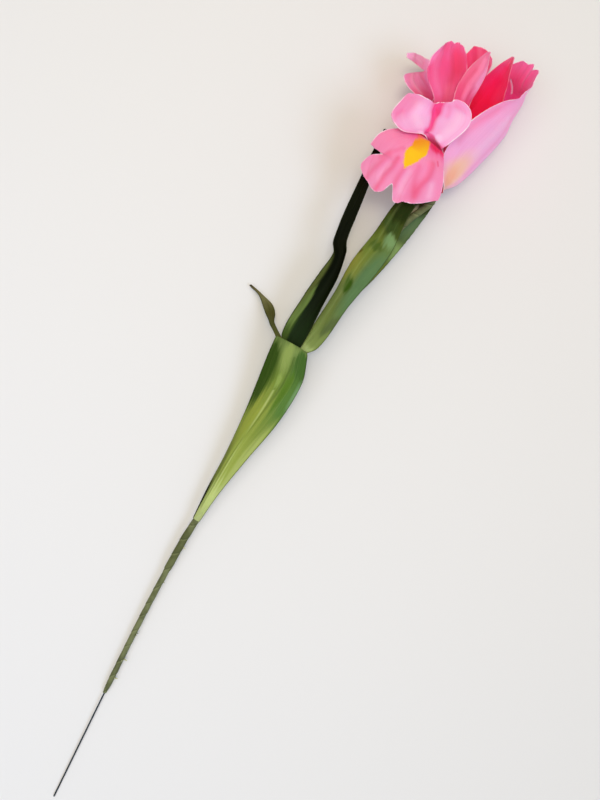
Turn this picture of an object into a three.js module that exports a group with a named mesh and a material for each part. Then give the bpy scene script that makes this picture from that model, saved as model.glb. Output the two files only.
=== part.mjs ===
import * as THREE from 'three';

// Artificial iris on a wire stem, lying on a table.
// Millimetres, +Z up, +Y along the stem from the bare wire end to the bloom.
// The origin is on the table, under the middle of the part.
//
// Each leaf and petal is one piece of stiffened cloth. It is laid through rows of three points:
// left edge, middle and right edge, seen from above with the bloom at the top.

// Driving sizes
const cloth = 0.7;
const gap = 0.3;
const wireRadius = 0.6;
const boreRadius = 0.9;
const tapeRadius = [[0, 1.3], [0.02, 1.9], [0.3, 2.1], [0.4, 2.3], [1, 2.3]];
const leafSeat = 3.2;
const coreRadius = 2.9;
const standardRing = 3.7;
const crestRing = 4.8;
const fallRing = 5.9;
const rootSpread = 42;

// Where the bloom sits: the middle of its root rings and the way it points
const bloom = new THREE.Vector3(29.5, 205, 31);
const bloomWay = new THREE.Vector3(-0.23, 0.97, 0.04).normalize();
const coreFrom = -6;
const coreTo = 5;

// Middle line of the stem, from the bare wire end to the foot of the bloom
const bareWire = [
  [5.7, -320.9, 0.7],
  [3, -276, 1.5],
];
const tapedStem = [
  [0.5, -233.5, 2.5],
  [-3, -165, 4.5],
  [-4, -105.5, 7],
  [-3, -84, 8.5],
  [-2, -34, 11.5],
  [-0.5, 14, 15.5],
  [3, 54, 19],
  [7, 82.5, 21.5],
  [12, 114.5, 24],
  [17.5, 148, 27],
  [23, 173, 29.5],
  [28.5, 186, 30.5],
];

// Reads a list of points smoothly at t, from 0 at its start to 1 at its end. The curve leaves each
// point along the line between its neighbours, no faster than the stretch is long.
function along(points, t) {
  const last = points.length - 1;
  const place = THREE.MathUtils.clamp(t, 0, 1) * last;
  const i = Math.min(Math.floor(place), last - 1);
  const f = place - i;
  const mirror = (p, q) => p.map((x, k) => 2 * x - q[k]);
  const p1 = points[i];
  const p2 = points[i + 1];
  const p0 = i > 0 ? points[i - 1] : mirror(p1, p2);
  const p3 = i + 2 <= last ? points[i + 2] : mirror(p2, p1);
  const span = (p, q) => Math.hypot(...p.map((x, k) => x - q[k]));
  const length = span(p1, p2);
  const leave = length / (span(p0, p1) + length);
  const arrive = length / (span(p2, p3) + length);
  return p1.map((x, k) => {
    const start = leave * (p2[k] - p0[k]);
    const end = arrive * (p3[k] - x);
    const square = 3 * (p2[k] - x) - 2 * start - end;
    const cube = 2 * (x - p2[k]) + start + end;
    return x + start * f + square * f * f + cube * f * f * f;
  });
}

// Reads a stepped outline, pairs of place and value, with straight lines between them
function outline(pairs, x) {
  const next = Math.max(1, pairs.findIndex((pair) => pair[0] >= x));
  const [x0, y0] = pairs[next - 1];
  const [x1, y1] = pairs[next];
  return y0 + (y1 - y0) * (x - x0) / (x1 - x0);
}

// Three points of an arc round a centre line. Facing 0 is the upper side, and 90 the right side.
// A negative spread runs from right to left, for a piece that lies on the under side.
function hug(centre, way, facing, radius, spread) {
  const right = new THREE.Vector3().crossVectors(way, new THREE.Vector3(0, 0, 1)).normalize();
  const up = new THREE.Vector3().crossVectors(right, way);
  return [-spread, 0, spread].map((turn) => {
    const angle = THREE.MathUtils.degToRad(facing + turn);
    const point = centre.clone();
    point.addScaledVector(up, radius * Math.cos(angle));
    point.addScaledVector(right, radius * Math.sin(angle));
    return point.toArray();
  });
}

// The two lowest rows of a petal, which lie round the core
function root(facing, radius, from, to, spread = rootSpread) {
  return [from, to].map((height) => {
    const centre = bloom.clone().addScaledVector(bloomWay, height);
    return hug(centre, bloomWay, facing, radius, spread);
  });
}

// The lowest row of a leaf, which lies on the tape at one point of the stem
function seat(index, shift, facing, spread) {
  const here = new THREE.Vector3(...tapedStem[index]);
  const next = new THREE.Vector3(...tapedStem[index + 1]);
  const last = new THREE.Vector3(...tapedStem[index - 1]);
  const way = next.sub(last).normalize();
  return hug(here.addScaledVector(way, shift), way, facing, leafSeat, spread);
}

function solid(positions, triangles) {
  const geometry = new THREE.BufferGeometry();
  geometry.setAttribute('position', new THREE.Float32BufferAttribute(positions.flat(), 3));
  geometry.setIndex(triangles.flat());
  geometry.computeVertexNormals();
  return geometry;
}

// A cloth blade: the middle surface through its rows, thickened to both sides and closed round its
// edge. end, left and right say how much of the full length and half width is there, so they cut
// its lobes and notches.
function blade({ rows, end = [[-1, 1], [1, 1]], left = [[0, 1], [1, 1]], right = left, steps }) {
  const [long, wide] = steps;
  const rails = [0, 1, 2].map((side) => rows.map((row) => row[side]));
  const middle = [];
  for (let i = 0; i <= long; i += 1) {
    for (let j = 0; j <= wide; j += 1) {
      const across = 2 * j / wide - 1;
      const reach = i / long;
      const s = reach * (1 - (1 - outline(end, across)) * reach ** 6);
      const t = across * outline(across < 0 ? left : right, reach);
      const [a, b, c] = rails.map((rail) => along(rail, s));
      const weights = [t * (t - 1) / 2, 1 - t * t, t * (t + 1) / 2];
      const point = a.map((x, k) => weights[0] * x + weights[1] * b[k] + weights[2] * c[k]);
      middle.push(new THREE.Vector3(...point));
    }
  }
  const at = (i, j) => i * (wide + 1) + j;
  const faces = [[], []];
  for (let i = 0; i <= long; i += 1) {
    for (let j = 0; j <= wide; j += 1) {
      const du = middle[at(Math.min(i + 1, long), j)].clone().sub(middle[at(Math.max(i - 1, 0), j)]);
      const dv = middle[at(i, Math.min(j + 1, wide))].clone().sub(middle[at(i, Math.max(j - 1, 0))]);
      const normal = dv.cross(du).normalize();
      faces[0].push(middle[at(i, j)].clone().addScaledVector(normal, cloth / 2).toArray());
      faces[1].push(middle[at(i, j)].clone().addScaledVector(normal, -cloth / 2).toArray());
    }
  }
  const under = middle.length;
  const triangles = [];
  const wall = (p, q) => triangles.push([p, p + under, q + under], [p, q + under, q]);
  for (let i = 0; i < long; i += 1) {
    for (let j = 0; j < wide; j += 1) {
      const [a, b, c, d] = [at(i, j), at(i, j + 1), at(i + 1, j + 1), at(i + 1, j)];
      triangles.push([a, b, c], [a, c, d]);
      triangles.push([a + under, c + under, b + under], [a + under, d + under, c + under]);
    }
    wall(at(i + 1, 0), at(i, 0));
    wall(at(i, wide), at(i + 1, wide));
  }
  for (let j = 0; j < wide; j += 1) {
    wall(at(0, j), at(0, j + 1));
    wall(at(long, j + 1), at(long, j));
  }
  return solid([...faces[0], ...faces[1]], triangles);
}

// A round bar along a line of points, with a bore where one is given
function bar(path, radii, bore, long, sides) {
  const positions = [];
  const triangles = [];
  const layers = bore > 0 ? 2 : 1;
  for (let layer = 0; layer < layers; layer += 1) {
    for (let i = 0; i <= long; i += 1) {
      const centre = new THREE.Vector3(...along(path, i / long));
      const ahead = new THREE.Vector3(...along(path, Math.min(1, i / long + 0.002)));
      const behind = new THREE.Vector3(...along(path, Math.max(0, i / long - 0.002)));
      const way = ahead.sub(behind).normalize();
      const right = new THREE.Vector3().crossVectors(way, new THREE.Vector3(0, 0, 1)).normalize();
      const up = new THREE.Vector3().crossVectors(right, way);
      const radius = layer === 0 ? outline(radii, i / long) : bore;
      for (let k = 0; k < sides; k += 1) {
        const angle = 2 * Math.PI * k / sides;
        const point = centre.clone().addScaledVector(up, radius * Math.cos(angle));
        positions.push(point.addScaledVector(right, radius * Math.sin(angle)).toArray());
      }
    }
  }
  const at = (layer, i, k) => (layer * (long + 1) + i) * sides + k % sides;
  const quad = (a, b, c, d) => triangles.push([a, b, c], [a, c, d]);
  for (let k = 0; k < sides; k += 1) {
    for (let i = 0; i < long; i += 1) {
      quad(at(0, i, k), at(0, i, k + 1), at(0, i + 1, k + 1), at(0, i + 1, k));
      if (layers === 2) quad(at(1, i, k), at(1, i + 1, k), at(1, i + 1, k + 1), at(1, i, k + 1));
    }
    if (layers === 2) {
      quad(at(0, 0, k), at(1, 0, k), at(1, 0, k + 1), at(0, 0, k + 1));
      quad(at(0, long, k), at(0, long, k + 1), at(1, long, k + 1), at(1, long, k));
    } else if (k > 1) {
      triangles.push([at(0, 0, 0), at(0, 0, k), at(0, 0, k - 1)]);
      triangles.push([at(0, long, 0), at(0, long, k - 1), at(0, long, k)]);
    }
  }
  return solid(positions, triangles);
}

const group = new THREE.Group();

function add(name, geometry, color, roughness, metalness = 0) {
  const material = new THREE.MeshStandardMaterial({ color, roughness, metalness });
  const mesh = new THREE.Mesh(geometry, material);
  mesh.name = name;
  group.add(mesh);
  return mesh;
}

// Stem: a steel wire that runs up to the bloom, and paper tape wound round it
const neck = [-5, -gap].map((drop) => bloom.clone().addScaledVector(bloomWay, coreFrom + drop).toArray());
const tapePath = [...tapedStem, ...neck];
const wirePath = [...bareWire, ...tapePath];
add('stem_wire', bar(wirePath, [[0, wireRadius], [1, wireRadius]], 0, 64, 8), 0x6f7a80, 0.4, 0.9);
add('stem_tape', bar(tapePath, tapeRadius, boreRadius, 56, 10), 0x6d7444, 0.85);

// Core of the bloom, which holds the petal roots
const coreLength = coreTo - coreFrom;
const coreProfile = [
  new THREE.Vector2(0, 0),
  new THREE.Vector2(coreRadius - 0.8, 0),
  new THREE.Vector2(coreRadius, 1.5),
  new THREE.Vector2(coreRadius, coreLength - 2),
  new THREE.Vector2(1.6, coreLength),
  new THREE.Vector2(0, coreLength),
];
const core = add('flower_core', new THREE.LatheGeometry(coreProfile, 14), 0x9fae6a, 0.6);
core.quaternion.setFromUnitVectors(new THREE.Vector3(0, 1, 0), bloomWay);
core.position.copy(bloom).addScaledVector(bloomWay, coreFrom);

// Falls: the three outer petals
add('fall_front', blade({
  rows: [
    ...root(-15, fallRing, -3, 1),
    [[17, 210.5, 38.5], [21, 212, 43], [25, 213, 44.5]],
    [[7, 215, 51], [12, 216, 53.5], [24, 218.5, 50]],
    [[-5, 219.5, 57], [3.5, 220, 58.5], [22.5, 219, 53]],
    [[-12, 217, 57.5], [6, 209.5, 60.5], [26, 213.5, 52]],
    [[-21.5, 209, 56], [5, 204, 61], [29.5, 208, 50]],
    [[-23.5, 198, 51.5], [4, 197, 59], [33.5, 200.5, 47]],
    [[-22.5, 187, 47.5], [3.5, 188, 54], [34.5, 191.5, 44]],
    [[-17, 177, 44], [6, 175.5, 48], [29, 179.5, 41]],
  ],
  end: [
    [-1, 0.9], [-0.92, 0.935], [-0.75, 0.965], [-0.62, 0.99], [-0.46, 0.995], [-0.26, 0.975],
    [-0.12, 0.935], [-0.05, 0.91], [0, 0.945], [0.05, 0.985], [0.13, 1], [0.26, 0.993], [0.35, 0.973],
    [0.55, 0.967], [0.76, 0.94], [0.89, 0.907], [1, 0.87],
  ],
  left: [
    [0, 1], [0.77, 1], [0.776, 0.94], [0.781, 0.62], [0.79, 0.57], [0.803, 0.66], [0.825, 0.81],
    [0.87, 0.92], [0.91, 0.97], [0.945, 1], [1, 1],
  ],
  right: [[0, 1], [1, 1]],
  steps: [40, 18],
}), 0xf48cb6, 0.75);

add('fall_right', blade({
  rows: [
    ...root(110, fallRing, -2, 0),
    [[28.5, 213, 41.5], [42, 215.5, 28], [34.5, 223.5, 19]],
    [[22.5, 223.5, 47.5], [49.5, 241, 24], [38, 251, 10]],
    [[27.5, 247, 53], [54.5, 264.5, 22], [39, 274, 3.5]],
    [[34.5, 261.5, 52.5], [54, 278.5, 21], [40, 292.5, 0.5]],
    [[43.5, 274, 50], [54, 291.5, 23], [38.5, 306, 2.5]],
    [[48.5, 280, 47], [51, 301, 26], [35, 313, 8]],
    [[49.5, 284.5, 44], [52, 312, 32], [34, 323, 14]],
  ],
  end: [
    [-1, 0.97], [-0.7, 0.94], [-0.45, 0.955], [-0.2, 0.985], [0, 1], [0.15, 0.985], [0.27, 0.965],
    [0.4, 1], [0.6, 0.98], [0.8, 0.99], [1, 0.95],
  ],
  steps: [22, 14],
}), 0xf7a6d6, 0.75);

add('fall_back', blade({
  rows: [
    ...root(225, fallRing, -4, -1, -rootSpread),
    [[13, 216, 26], [22, 227.5, 16], [29, 234, 14]],
    [[-1.5, 237, 28], [13.5, 256, 6], [27, 264.5, 8]],
    [[-14, 253, 31], [4, 278, 2.5], [25, 288, 9]],
    [[-25, 256, 34], [-3, 291.5, 2], [22.5, 301, 14]],
    [[-32, 266.5, 35], [-6.5, 297, 4], [21, 306.5, 20]],
    [[-34, 277.5, 34], [-11.5, 304, 9], [11, 320.5, 22]],
  ],
  end: [
    [-1, 0.985], [-0.86, 1], [-0.66, 0.98], [-0.46, 0.943], [-0.2, 0.91], [0, 0.9], [0.3, 0.93],
    [0.46, 0.957], [0.58, 0.985], [0.67, 1], [0.73, 0.982], [0.8, 0.975], [0.92, 0.947], [1, 0.88],
  ],
  left: [
    [0, 1], [0.72, 0.96], [0.79, 0.98], [0.805, 0.9], [0.815, 0.55], [0.83, 0.52], [0.85, 0.6],
    [0.89, 0.71], [0.93, 0.9], [0.95, 1], [1, 1],
  ],
  right: [[0, 1], [1, 1]],
  steps: [34, 12],
}), 0xf07fa8, 0.75);

// Crests: a lobed petal above each fall
add('crest_front', blade({
  rows: [
    ...root(-8, crestRing, -2, 2),
    [[20, 214, 38.5], [24, 216.5, 41], [29, 219, 39]],
    [[10.5, 221, 49], [15, 222, 51.5], [20, 223, 49.5]],
    [[4.5, 220, 61], [10, 223.5, 59.5], [20, 220, 57]],
    [[-9.5, 214, 64.5], [8, 226.5, 60], [23, 225, 59.5]],
    [[-20, 220, 63.5], [6, 234, 60], [28, 240.5, 60]],
    [[-19, 232, 64], [5, 239.5, 61.5], [24, 249.5, 60]],
    [[-16, 240.5, 63.5], [3.5, 244.5, 61.5], [12, 253, 61]],
  ],
  end: [
    [-1, 0.96], [-0.75, 1], [-0.42, 0.99], [-0.28, 0.975], [-0.2, 0.953], [-0.12, 0.975], [-0.05, 1],
    [0.12, 1], [0.3, 0.99], [0.55, 0.985], [0.7, 1], [0.88, 0.985], [1, 0.945],
  ],
  steps: [18, 16],
}), 0xf9b3da, 0.75);

add('crest_right', blade({
  rows: [
    ...root(105, crestRing, -2, 2),
    [[31, 231.5, 35], [35, 232.5, 30], [33, 238.5, 23]],
    [[30, 243.5, 41], [40.5, 248.5, 30], [36, 259, 21]],
    [[34, 253.5, 44], [45, 261.5, 30], [40, 273.5, 20]],
    [[37.5, 262, 44], [46.5, 271.5, 31], [41, 281.5, 23]],
  ],
  end: [[-1, 0.96], [-0.5, 1], [0, 0.9], [0.5, 1], [1, 0.96]],
  steps: [12, 8],
}), 0xf58cc0, 0.75);

add('crest_back', blade({
  rows: [
    ...root(225, crestRing, -2, 2, -rootSpread),
    [[13, 228.5, 25], [19.5, 234, 19.5], [25.5, 238.5, 18]],
    [[3.5, 240, 28], [13, 252, 15], [22.5, 258, 15.5]],
    [[-1.5, 250, 32], [8, 265, 15], [19, 269.5, 17]],
    [[-2.5, 261, 34], [3, 274, 20], [11.5, 276, 22]],
  ],
  end: [[-1, 0.96], [-0.5, 1], [0, 0.9], [0.5, 1], [1, 0.96]],
  steps: [12, 8],
}), 0xf58cc0, 0.75);

// Standards: the three inner petals
add('standard_left', blade({
  rows: [
    ...root(-70, standardRing, -1, 6),
    [[13.5, 225.5, 33], [17, 226.5, 33], [21, 230, 32]],
    [[3.5, 238.5, 41], [9, 244.5, 38], [16, 250, 35]],
    [[-1.5, 250.5, 48], [4.5, 257.5, 42], [13.5, 263.5, 37]],
    [[-13, 260.5, 50], [-2.5, 271, 42.5], [10.5, 279, 38]],
    [[-16.5, 272, 50], [-8, 282.5, 43], [4, 290, 40]],
    [[-14, 286, 48], [-10.5, 293, 44], [-2, 296.5, 41]],
  ],
  end: [[-1, 0.98], [-0.1, 1], [0.25, 0.985], [0.6, 1], [1, 0.98]],
  steps: [16, 8],
}), 0xe9508f, 0.75);

add('standard_front', blade({
  rows: [
    ...root(45, standardRing, -1, 6),
    [[21, 226.5, 41], [25, 226.5, 42], [29.5, 228, 39]],
    [[15, 242, 48], [21.5, 242.5, 49], [28, 246, 44]],
    [[10, 255, 51], [16, 256, 52], [22, 258.5, 46]],
    [[8, 267, 53], [15, 267.5, 54], [21.5, 272, 48]],
    [[9.5, 278.5, 55], [16, 279, 56], [20.5, 281.5, 52]],
    [[14.5, 290, 57], [15, 291, 57], [16.5, 292, 56.5]],
  ],
  steps: [16, 6],
}), 0xf48ab0, 0.75);

add('standard_right', blade({
  rows: [
    ...root(165, standardRing, -1, 6, -rootSpread),
    [[21.5, 233, 26], [26, 235.5, 22], [30, 237, 24.5]],
    [[18, 252.5, 29], [24.5, 258, 20], [32.5, 257, 26]],
    [[18, 270, 31], [28, 279, 20], [41.5, 276.5, 30]],
    [[20, 283.5, 34], [29.5, 289.5, 24], [39, 286.5, 33]],
    [[24.5, 295.5, 37], [31, 297.5, 31], [36, 295.5, 36]],
    [[31, 306.5, 39], [31.5, 307.5, 38.5], [32.5, 307, 39]],
  ],
  steps: [16, 6],
}), 0xe81c50, 0.75);

// Leaves: the lowest folds over and down to the table, and the top one is wrapped round the stem
add('lower_leaf', blade({
  rows: [
    seat(3, -2, 0, 60),
    [[-7.5, -61, 10.5], [-3, -60.5, 14.5], [2, -62, 12.5]],
    [[-8, -34, 13], [-3, -28, 19], [7.5, -30, 16]],
    [[-10.5, 0, 16.5], [0, 7.5, 24.5], [14.5, 7, 20]],
    [[-13.5, 25, 20], [1, 34.5, 28.5], [15.5, 38.5, 24]],
    [[-16, 45.5, 25], [-2, 50, 32.5], [10.5, 54.5, 28]],
    [[-17, 59, 29], [-3.5, 59.5, 33], [7.5, 59.5, 29]],
    [[-16.5, 58.5, 26], [-6.5, 58, 30], [3.5, 57.5, 27]],
    [[-18, 59.5, 24.5], [-11.5, 58, 27.5], [-4.5, 57, 26.5]],
    [[-21.5, 62, 22], [-18, 61.5, 22.5], [-13.5, 60.5, 23]],
    [[-27, 66, 19], [-26, 67, 15.5], [-24, 68, 12.5]],
    [[-32, 70, 13], [-30.5, 73, 8], [-28, 75, 4]],
    [[-39, 76, 8.5], [-36.5, 78.5, 4.5], [-34, 80.5, 1.5]],
    [[-46.5, 81.5, 5.5], [-45.5, 82, 3.5], [-44, 83, 1]],
    [[-55, 84, 3], [-54.5, 84.5, 3], [-54, 85, 2.5]],
  ],
  steps: [36, 6],
}), 0x84984f, 0.55);

add('upper_leaf', blade({
  rows: [
    seat(6, -12, -60, 55),
    [[-7, 54, 20.5], [-3.5, 53.5, 21], [-0.5, 54, 22]],
    [[-15, 63.5, 22], [-6.5, 63, 21.5], [2, 63, 24]],
    [[-14, 94, 30], [-5, 94, 24], [1, 96.5, 27]],
    [[-12, 114, 32], [-3.5, 115.5, 25], [0.5, 117, 29]],
    [[-10.5, 129, 33], [-5, 131, 28], [-3, 134.5, 31]],
    [[-14.5, 136.5, 33], [-11.5, 139.5, 29], [-6.5, 142.5, 28]],
    [[-17, 151.5, 34], [-14, 153.5, 31], [-9, 157.5, 27]],
    [[-20, 185.5, 35], [-17, 187.5, 32], [-13, 188.5, 27]],
    [[-21.5, 210.5, 35], [-20, 211.5, 33], [-18, 213, 30]],
    [[-22, 221.5, 35], [-21, 222, 34.5], [-20.5, 222.5, 34]],
  ],
  steps: [30, 6],
}), 0x26380f, 0.55);

add('sheath_leaf', blade({
  rows: [
    seat(6, 1, -75, -72),
    [[13, 66.5, 26.5], [1.5, 74.5, 21], [11, 68, 13]],
    [[17.5, 102.5, 30], [3.5, 106.5, 24], [17, 107, 18]],
    [[22.5, 127.5, 33], [3.5, 132, 27], [23.5, 130, 20]],
    [[25, 149.5, 35], [7.5, 156, 30], [28.5, 153, 22]],
    [[23, 173, 36], [10, 178, 32], [33, 181.5, 24]],
    [[24, 189, 36.5], [14, 195.5, 32.5], [35, 205, 20]],
  ],
  end: [[-1, 0.95], [-0.5, 1], [0, 1], [0.5, 1], [1, 1]],
  steps: [24, 10],
}), 0x66803f, 0.55);

export default group;
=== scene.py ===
"""Artificial iris: cloth petals and leaves on a wire stem wound with crepe paper tape.

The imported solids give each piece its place. This script dresses them as dyed polyester cloth, printed
leaf cloth, wound tape and drawn steel wire, and lays the flower on a pale table.
"""

import math

import bpy
import numpy as np
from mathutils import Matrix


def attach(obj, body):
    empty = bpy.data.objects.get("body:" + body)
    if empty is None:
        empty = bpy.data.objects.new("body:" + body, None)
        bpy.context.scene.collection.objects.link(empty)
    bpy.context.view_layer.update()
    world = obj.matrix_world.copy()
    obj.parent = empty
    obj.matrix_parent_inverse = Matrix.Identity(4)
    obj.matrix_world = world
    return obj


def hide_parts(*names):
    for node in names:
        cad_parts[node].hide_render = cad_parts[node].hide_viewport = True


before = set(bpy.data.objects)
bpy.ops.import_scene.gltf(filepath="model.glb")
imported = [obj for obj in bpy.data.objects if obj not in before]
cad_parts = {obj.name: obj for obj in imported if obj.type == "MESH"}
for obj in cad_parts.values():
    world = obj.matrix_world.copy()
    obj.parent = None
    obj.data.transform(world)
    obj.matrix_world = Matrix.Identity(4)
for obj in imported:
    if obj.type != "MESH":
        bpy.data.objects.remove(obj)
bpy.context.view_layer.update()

bl_info = {
    "name": "Artificial iris",
    "version": (1, 0, 0),
    "blender": (4, 5, 0),
    "location": "3D View > Sidebar > Iris",
    "description": "Makes the cloth, tape and wire of an artificial iris round its packed solids",
    "category": "Object",
}

MM = 0.001
BODY = "root"

# A point on the core of the bloom, the way that the bloom points and where the core starts on that
# line, in mm
BLOOM = np.array((29.5, 205, 31))
BLOOM_WAY = np.array((-0.23, 0.97, 0.04))
BLOOM_WAY = BLOOM_WAY / np.linalg.norm(BLOOM_WAY)
CORE_FROM = -6
# Rings that the petal roots lie on, round the core, in mm, and how far a root reaches to each side of
# its middle, in degrees
RINGS = {"fall": 5.9, "crest": 4.8, "standard": 3.7}
ROOT_SPREAD = 42
# Ring that the feet of the leaves lie on, round the taped stem, in mm
LEAF_SEAT = 3.2

# Middle line of the stem in mm, from the bare wire end to the foot of the bloom
BARE_WIRE = [
    (5.7, -320.9, 0.7),
    (3, -276, 1.5),
]
TAPED_STEM = [
    (0.5, -233.5, 2.5),
    (-3, -165, 4.5),
    (-4, -105.5, 7),
    (-3, -84, 8.5),
    (-2, -34, 11.5),
    (-0.5, 14, 15.5),
    (3, 54, 19),
    (7, 82.5, 21.5),
    (12, 114.5, 24),
    (17.5, 148, 27),
    (23, 173, 29.5),
    (28.5, 186, 30.5),
]
# The stem's last two points, in line with the core
NECK = [BLOOM + BLOOM_WAY * (CORE_FROM - drop) for drop in (5, 0.3)]
# Radius of the wound tape in mm at places from 0 at its lower end to 1 at the bloom
TAPE_GIRTH = [
    (0, 1.15), (0.008, 1.55), (0.02, 1.85), (0.236, 2.0), (0.24, 2.5), (0.31, 2.55), (0.335, 2.25),
    (1, 2.25)]
# Small folded ends of the tape that stand out from the stem: how far up it in mm and the way they face
TAPE_ENDS = [(13, 70), (28, 35), (29, 75), (48, 20), (49.5, 50), (51, 80), (94, 85), (124, 80)]
TAPE_ENDS_SEED = 4
# Step in mm between the rings of points of the wire and of the tape, and how many are in a ring
WIRE_STEP = 1.0
WIRE_SIDES = 16
TAPE_STEP = 0.4
TAPE_SIDES = 30

# Fewest steps of a blade's mesh along it and on each side of its middle
FEWEST_ROWS = 24
FEWEST_ACROSS = 8
# An edge that is cut straight, and the share of its wander and of its waves that a blade's edge has
# at places from 0 at its root to 1 at its end
WHOLE = [(-1, 1), (1, 1)]
RAGGED = [(0, 0), (0.25, 0), (0.35, 1), (1, 1)]
FREE = [(0, 0), (0.35, 0), (0.7, 1), (1, 1)]
# How finely an edge wanders, how far the corners of its cut are rounded as shares of the blade, and the
# power by which the end's shape fades out towards the root
END_WAVES = 40
SIDE_WAVES = 60
END_ROUNDING = 0.03
SIDE_ROUNDING = 0.007
END_PULL = 6
# Lowest that the middle of the cloth lies over the table, in mm
TABLE_GAP = 0.3
# Loose threads: a place for one every so many mm of cut edge, the share of the places that have one,
# and how far from the root and how high over the table they start, in mm
THREAD_EVERY = 0.45
THREAD_SHARE = 0.3
THREADS_FROM_ROOT = 16
THREADS_ABOVE = 1.2
# Seed of the first blade in CUTS. Each one after it takes the next, so no two edges wander alike
FIRST_SEED = 10
# Pressed ribs across a leaf
LEAF_RIBS = 22.0

# Stage, in m and degrees. The camera looks straight down
TABLE_REACH = 4.0
CAMERA_PLACE = (0.020, 0.028, 0.500)
CAMERA_TURN = 29.5
# Cool daylight from a window at the right of the picture: strength and colour, the way it shines, and
# how wide the window looks from the table
WINDOW_LIGHT = (1.1, (0.60, 0.72, 1.0))
WINDOW_WAY = (-0.85, 0.11, -1.0)
WINDOW_SPREAD = 28
# Overhead: a small ceiling light, daylight over the stem and a warm lamp over the bloom. Power in W,
# colour, side and place
LAMPS = {
    "ceiling": (11.8, (1.0, 0.88, 0.68), 0.6, (0.02, 0.03, 2.0)),
    "daylight": (4.8, (0.77, 0.84, 1.0), 1.0, (-0.30, -0.42, 1.0)),
    "lamp": (2.8, (1.0, 0.65, 0.20), 1.0, (-0.15, 0.40, 1.0)),
}
ROOM_COLOUR = (0.98, 1.0, 0.95, 1.0)
ROOM_STRENGTH = 0.42

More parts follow.
